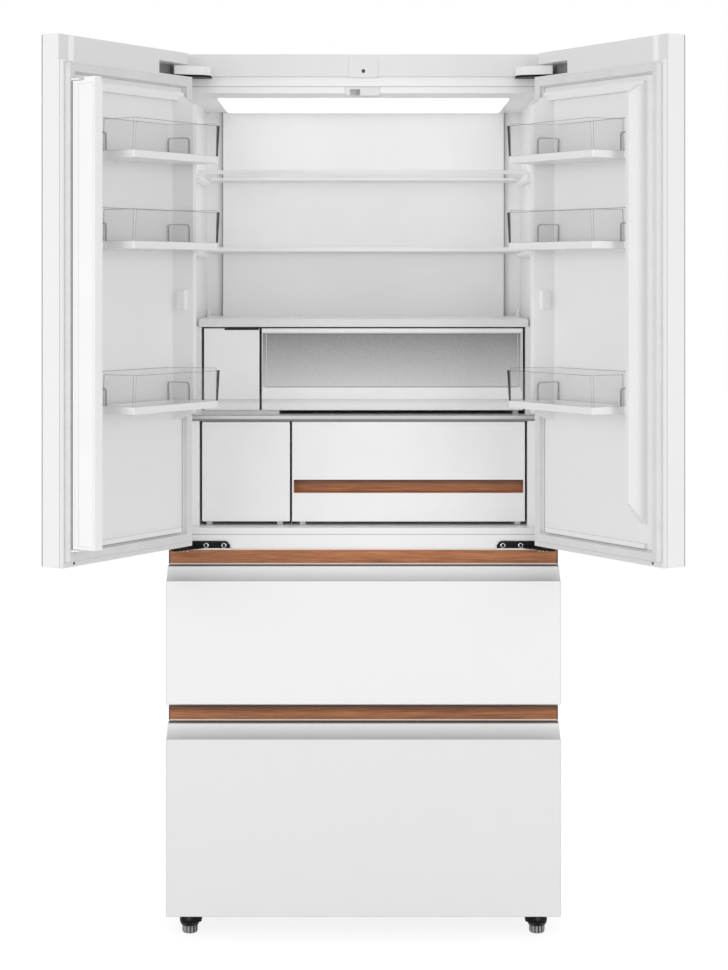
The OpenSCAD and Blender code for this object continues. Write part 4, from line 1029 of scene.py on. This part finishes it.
def add_hook(bm, x, y, z, radius, wall):
    """A clear end wall with rounded upper corners and a thick rim, which hooks on the dyke."""
    rim, back = 3.4, radius * 0.6

    def outline(inset):
        return [(y[0] + inset, z[0]), (y[1] - inset, z[0]),
                *arc((y[1] - radius, z[1] - radius), radius - inset, 0, 90, 7),
                *arc((y[0] + back, z[1] - back), back - inset * 0.6, 90, 180, 5)]

    outer, inner = outline(0.0), outline(rim)
    loops = [[bm.verts.new((x + shift, py, pz)) for py, pz in points]
             for points, shift in ((outer, 0), (inner, 0), (inner, wall), (outer, wall))]
    bm.faces.new(loops[1]).material_index = HOOK
    for i, finish in enumerate((HOOK, EDGE, EDGE, EDGE)):
        for face in join_loops(bm, loops[i], loops[(i + 1) % 4], first=1):
            face.material_index = finish


def bin_guard(side, index, z, materials):
    """Clear guard of a door bin: a bent sheet in front, a higher one behind, an end dark with painted shade,
    and two hooks.
    """
    low, high = closed_box(side, f"{side}_bin_guards")
    near, far = sorted((abs(low.x), abs(high.x)))
    plate, front = low.y, closed_box(side, f"{side}_bin_trays")[1].y
    front_top = max(point.z for point in closed_points(side, f"{side}_bin_guards")
                    if point.y > front - 1 and point.z < z[1] + 0.1)
    bend, wall = 2.6, 2.6
    lean = high.y - front - 0.8
    bm = bmesh.new()
    path = [(near, plate + 22), (near, front - bend - 1.2),
            *arc((near + bend, front - bend), bend, 180, 90, 6), (far, front)]
    add_wall(bm, path, (z[0], front_top), wall, lean, 1.3, marked=(1, 6))
    rear = [(near + wall, plate + 3), (far - 39, plate + 3), (far - 13, plate + 48),
            (far - wall, front - wall)]
    add_wall(bm, rear, z, wall, 0.0, 1.1)
    ends = []
    for height, out, width in ((z[0], 0, 3), (front_top, lean, 5.4)):
        corners = ((far - width, -wall), (far, -wall), (far, 0.3), (far - width, 0.3))
        ends.append([bm.verts.new((x, front + out + y, height)) for x, y in corners])
    for face in (bm.faces.new(ends[0]), bm.faces.new(ends[1]), *join_loops(bm, *ends)):
        face.material_index = END
    add_hook(bm, far - 40, (plate + 2, plate + 57), (z[0], z[0] + 38), 9, wall)
    add_hook(bm, near - 10, (plate + 2, plate + 38), (z[0], z[0] + 36), 7, wall)
    return door_piece(side, f"guard_{index}", bm, materials)


class FRIDGE_OT_freezer_drawers(bpy.types.Operator):
    """Finishes the freezer drawers and the walnut strips"""

    bl_idname = "fridge.freezer_drawers"
    bl_label = "Freezer drawers"

    def execute(self, context):
        colours = context.scene.fridge_colours
        edges = colours.glass_edge
        glass = lacquered_glass("lacquered_glass_drawers", colours.front, edges, FRONT)
        basket = moulded_abs("basket_abs", colours.moulding, 0.3)
        rails = brushed_metal("zinc_plated_rails", srgb("C5C8CA"), 0.3)
        # painted shade: the lower drawer's glass is made darker than the upper drawer's
        shaded_low_glass = lacquered_glass("lacquered_glass_low_shaded", shaded(colours.front, 0.91), edges, FRONT)
        paint(glass, "upper_freezer_panel", round_mm=2.6)
        paint(shaded_low_glass, "lower_freezer_panel", round_mm=2.6)
        for level in ("upper", "lower"):
            top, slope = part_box(f"{level}_freezer_body")[1][2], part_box(f"{level}_freezer_panel")[1][2]
            edge = grip_enamel(f"grip_edge_enamel_{level}", colours.surround, slope, top)
            paint(edge, f"{level}_freezer_body", round_mm=0.8)
            paint(basket, f"{level}_freezer_basket")
            paint(rails, f"{level}_freezer_rails", round_mm=0.3)
            drawer_seal(level)
            gap_shade_strip(level)
        wood = walnut_veneer("walnut_veneer_strips", colours.walnut, colours.walnut_dark,
                             levels("walnut_strips")[0][1] * MM)
        paint(wood, "walnut_strips", round_mm=0.4)
        strip_highlight_beads()
        return {"FINISHED"}


def gap_shade_strip(level):
    """Dark strip of painted shade along the back of a drawer's top edge, in the gap under the walnut strip.
    """
    low, high = box(f"{level}_freezer_body")
    bm = bmesh.new()
    add_slab(bm, (low.x + 0.5, high.y - 12, high.z - 0.2),
             (high.x - 0.5, box("walnut_strips")[0].y - 0.6, high.z + 0.8), 0.3)
    rubber = seal_elastomer(f"gap_shade_rubber_{level}", srgb("3C3C3D"))
    finish_mesh(f"{level}_gap_shade_strip", bm, [rubber], f"{level}_freezer_drawer", SMOOTH_DEG)


def strip_highlight_beads():
    """Pale beads of painted highlight along the walnut strips' edges, the dark bead of painted shadow at the
    top of the lower one, and dark end caps.
    """
    low, high = box("walnut_strips")
    strips = levels("walnut_strips")
    (lower_z, lower_top), (upper_z, upper_top) = strips
    pale, dark = bmesh.new(), bmesh.new()
    for bm, z, top in ((pale, lower_z, lower_z + 3.2), (pale, upper_z, upper_z + 3.2),
                       (pale, upper_top - 1.2, upper_top), (dark, lower_top - 2.4, lower_top)):
        add_slab(bm, (low.x + 0.2, low.y - 0.4, z), (high.x - 0.2, low.y + 1, top), 0.2)
    for bottom, top in strips:
        for x in (low.x, high.x - 2.4):
            add_slab(dark, (x - 0.1, low.y - 0.5, bottom + 2), (x + 2.5, low.y + 2, top), 0.2)
    finish_mesh("strip_highlight_beads", pale, [moulded_abs("bead_abs", srgb("FBF6F2"), 0.3)], "cabinet")
    finish_mesh("strip_ends", dark, [moulded_abs("strip_end_abs", srgb("4A3222"), 0.45)], "cabinet")


class FRIDGE_OT_hinges(bpy.types.Operator):
    """Finishes the hinges, their covers and screws"""

    bl_idname = "fridge.hinges"
    bl_label = "Hinges"

    def execute(self, context):
        colours = context.scene.fridge_colours
        paint(dipped_black("dipped_black_steel", srgb("111112")), "door_hinges", round_mm=1.0)
        paint(moulded_abs("hinge_cover_abs", colours.moulding, 0.32), "hinge_covers", round_mm=3.0)
        hinge_screws()
        hinge_lips()
        return {"FINISHED"}


def hinge_screws():
    """Chromed pan-head screws in a turned ring, with their cross recess painted black as shade."""
    low, high = box("hinge_screws")
    radius = (high.z - low.z) / 2
    head = ((0, 0), (1, 0), (1, 0.8), (0.86, 1.7), (0.66, 1.9), (0.56, 1.2), (0, 1.1))
    core = ((0, 1.0), (0.56, 1.0), (0.54, 1.5), (0.28, 1.3), (0.2, 1.5), (0, 1.55))
    rings, cores = bmesh.new(), bmesh.new()
    for x_low, x_high in levels("hinge_screws", gap=15.0, axis=0):
        centre = ((x_low + x_high) / 2, high.y - 3.8, low.z + radius)
        for bm, profile in ((rings, head), (cores, core)):
            add_lathe(bm, centre, FRONT, [(radius * share, height) for share, height in profile])
    chrome = polished_metal("chromed_steel", srgb("C8CACC"))
    heads = finish_mesh("screw_heads", rings, [chrome], "cabinet", SMOOTH_DEG)
    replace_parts(heads, "hinge_screws")
    recess = dipped_black("recess_shade_steel", srgb("151515"))
    finish_mesh("screw_recesses", cores, [recess], "cabinet", SMOOTH_DEG)


def hinge_lips():
    """Bright lip under each bottom hinge, its raised rib, and the pale closer under the door."""
    lip, rib, shims = (277, 352), (281, 351), (363, 371, 378)
    strip_top = levels("walnut_strips")[1][1]
    front, screw_top = box("cabinet_shell")[0].y, box("hinge_screws")[1].z
    bright, dark, pale = bmesh.new(), bmesh.new(), bmesh.new()
    for side in (-1, 1):
        near, far = sorted(side * x for x in lip)
        add_slab(bright, (near, front - 5.2, strip_top + 0.2), (far, front - 0.2, strip_top + 2.2), 0.4)
        near, far = sorted(side * x for x in rib)
        add_slab(dark, (near, front - 5.6, screw_top + 0.4), (far, front - 3.8, screw_top + 2.2), 0.6)
        for x in shims:
            low = (side * x - 1.2, front - 46, strip_top + 0.6)
            high = (side * x + 1.2, front - 30, strip_top + 1.4)
            add_slab(pale, low, high, 0.3)
    pieces = (("hinge_lips", bright, brushed_metal("lip_steel", srgb("D6D8DA")), "trim_metal"),
              ("hinge_ribs", dark, dipped_black("rib_steel", srgb("2E2E2F")), "hinge_black"),
              ("hinge_shims", pale, moulded_abs("shim_abs", srgb("E4E4E4"), 0.3), "trim_white"))
    for name, bm, material, slot in pieces:
        finish_mesh(name, bm, [material], "cabinet", SMOOTH_DEG)


class FRIDGE_OT_base(bpy.types.Operator):
    """Finishes the base frame, the feet and the rollers"""

    bl_idname = "fridge.base"
    bl_label = "Base and feet"

    def execute(self, context):
        paint(dipped_black("black_base_steel", srgb("121213")), "base_frame", round_mm=0.5)
        ridge = moulded_abs("foot_abs", srgb("A7A8AA"), 0.4)
        groove = moulded_abs("foot_groove_shade_abs", srgb("3D3E40"), 0.5)
        for side in SIDES:
            fluted_foot(side, (ridge, groove))
        foot_housings()
        tyre = roller_nylon("roller_nylon", srgb("4A4A4C"))
        paint(tyre, "left_roller", "right_roller", round_mm=1.5)
        return {"FINISHED"}


def foot_circle(side):
    """Middle and radius of a levelling foot, seen from above."""
    low, high = box(f"{side}_foot")
    return (low.x + high.x) / 2, (low.y + high.y) / 2, (high.x - low.x) / 2


def foot_housings():
    """Pressed housings round the levelling feet, with a bulge, and a lock nut and two ribs painted grey as
    highlights.
    """
    shells, details = bmesh.new(), bmesh.new()
    for side in SIDES:
        x, y, radius = foot_circle(side)
        bulge = ((2, 39.6), (3.4, 36), (5.4, 30), (5.8, 26), (4.6, 21), (2.4, 17.4), (1, 16.4))
        add_lathe(shells, (x, y, 0), UP,
                  [(0, 39.6), *((radius + out, z) for out, z in bulge), (0, 16.4)], sides=40)
        face = y - radius - 4.6
        add_lathe(details, (x, face + 1, 33), FRONT,
                  [(0, 0), (4.2, 0), (4.2, 1.6), (3, 2.4), (2.4, 1.2), (0, 1)], sides=20)
        for middle in (x - 9, x + 9):
            add_slab(details, (middle - 3.4, face - 0.6, 21.6), (middle + 3.4, face + 4, 23.2), 0.5)
    black = dipped_black("housing_steel", srgb("0C0C0D"))
    grey_highlight = dipped_black("highlight_steel", srgb("5A5B5D"))
    finish_mesh("foot_housings", shells, [black], "cabinet", SMOOTH_DEG)
    finish_mesh("foot_lock_nuts", details, [grey_highlight], "cabinet", SMOOTH_DEG)


def fluted_foot(side, materials):
    """Levelling knob with deep flutes, their hollows dark with painted shade, on its threaded stem."""
    x, y, radius = foot_circle(side)
    flutes, steps, flute_depth = 13, 8, 2.3
    count = flutes * steps
    heights = ((0, 0.86, 0), (0.6, 0.94, 0.2), (2.4, 1.0, 0.8), (5, 1.04, 1), (14.4, 1.04, 1),
               (15.6, 0.98, 0.8))
    bm = bmesh.new()
    rings = []
    for height, share, depth in heights:
        ring = []
        for k in range(count):
            wave = max(0.0, math.cos(2 * math.pi * k / steps)) ** 0.7
            reach = radius * share - flute_depth * depth * wave
            angle = 2 * math.pi * k / count
            ring.append(bm.verts.new((x + reach * math.cos(angle), y + reach * math.sin(angle), height)))
        rings.append(ring)
    for i, (one, two) in enumerate(zip(rings, rings[1:])):
        for k, face in enumerate(join_loops(bm, one, two)):
            # painted shade: the faces in the hollows of the flutes take the dark finish
            face.material_index = 1 if i > 0 and k % steps in (0, 1, steps - 1) else 0
    bm.faces.new(rings[0][::-1])
    bm.faces.new(rings[-1])
    turns, pitch = 8, 1.6
    thread = [point for i in range(turns) for point in ((4.5, 15.8 + pitch * i), (5, 16.6 + pitch * i))]
    add_lathe(bm, (x, y, 0), UP, [(0, 15.4), (5, 15.4), *thread, (0, 29)], sides=24)
    foot = finish_mesh(f"{side}_levelling_foot", bm, materials, f"{side}_foot_body", 25)
    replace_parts(foot, f"{side}_foot")


class FRIDGE_OT_machinery(bpy.types.Operator):
    """Finishes the machine room and the cooling parts"""

    bl_idname = "fridge.machinery"
    bl_label = "Machinery"

    def execute(self, context):
        dark = moulded_abs("dark_polypropylene", srgb("3A3B3D"), 0.5)
        paint(dark, "machine_cover", "drip_tray", round_mm=0.5)
        paint(dark, "condenser_fan")
        paint(dipped_black("compressor_enamel", srgb("1B1B1C")), "compressor", round_mm=1.0)
        paint(brushed_metal("fin_aluminium", srgb("CDD0D2"), 0.35), "evaporator")
        paint(dipped_black("condenser_enamel", srgb("3C3D3E")), "condenser")
        paint(moulded_abs("fan_abs", srgb("B9BBBC"), 0.35), "evaporator_fan")
        paint(circuit_board("circuit_board", srgb("1F6B40")), "control_board")
        return {"FINISHED"}


OPERATORS = (FRIDGE_OT_stage, FRIDGE_OT_cabinet, FRIDGE_OT_interior, FRIDGE_OT_shelves,
             FRIDGE_OT_inner_drawers, FRIDGE_OT_doors, FRIDGE_OT_bins, FRIDGE_OT_freezer_drawers,
             FRIDGE_OT_hinges, FRIDGE_OT_base, FRIDGE_OT_machinery)


class FRIDGE_PT_panel(bpy.types.Panel):
    """Lists the refrigerator's settings and pieces."""

    bl_idname = "FRIDGE_PT_panel"
    bl_label = "Refrigerator"
    bl_space_type = "VIEW_3D"
    bl_region_type = "UI"
    bl_category = "Refrigerator"

    def draw(self, context):
        for group in (context.scene.fridge_colours, context.scene.fridge_sizes):
            for name in group.bl_rna.properties.keys():
                if name not in ("rna_type", "name"):
                    self.layout.prop(group, name)
        for operator in OPERATORS:
            self.layout.operator(operator.bl_idname)


CLASSES = (FridgeColours, FridgeSizes, *OPERATORS, FRIDGE_PT_panel)


def register():
    for cls in CLASSES:
        bpy.utils.register_class(cls)
    bpy.types.Scene.fridge_colours = PointerProperty(type=FridgeColours)
    bpy.types.Scene.fridge_sizes = PointerProperty(type=FridgeSizes)


def unregister():
    del bpy.types.Scene.fridge_sizes
    del bpy.types.Scene.fridge_colours
    for cls in reversed(CLASSES):
        bpy.utils.unregister_class(cls)


def main():
    register()
    bpy.context.scene.view_settings.view_transform = "Standard"
    for operator in OPERATORS:
        group, name = operator.bl_idname.split(".")
        getattr(getattr(bpy.ops, group), name)()


if __name__ == "__main__":
    main()
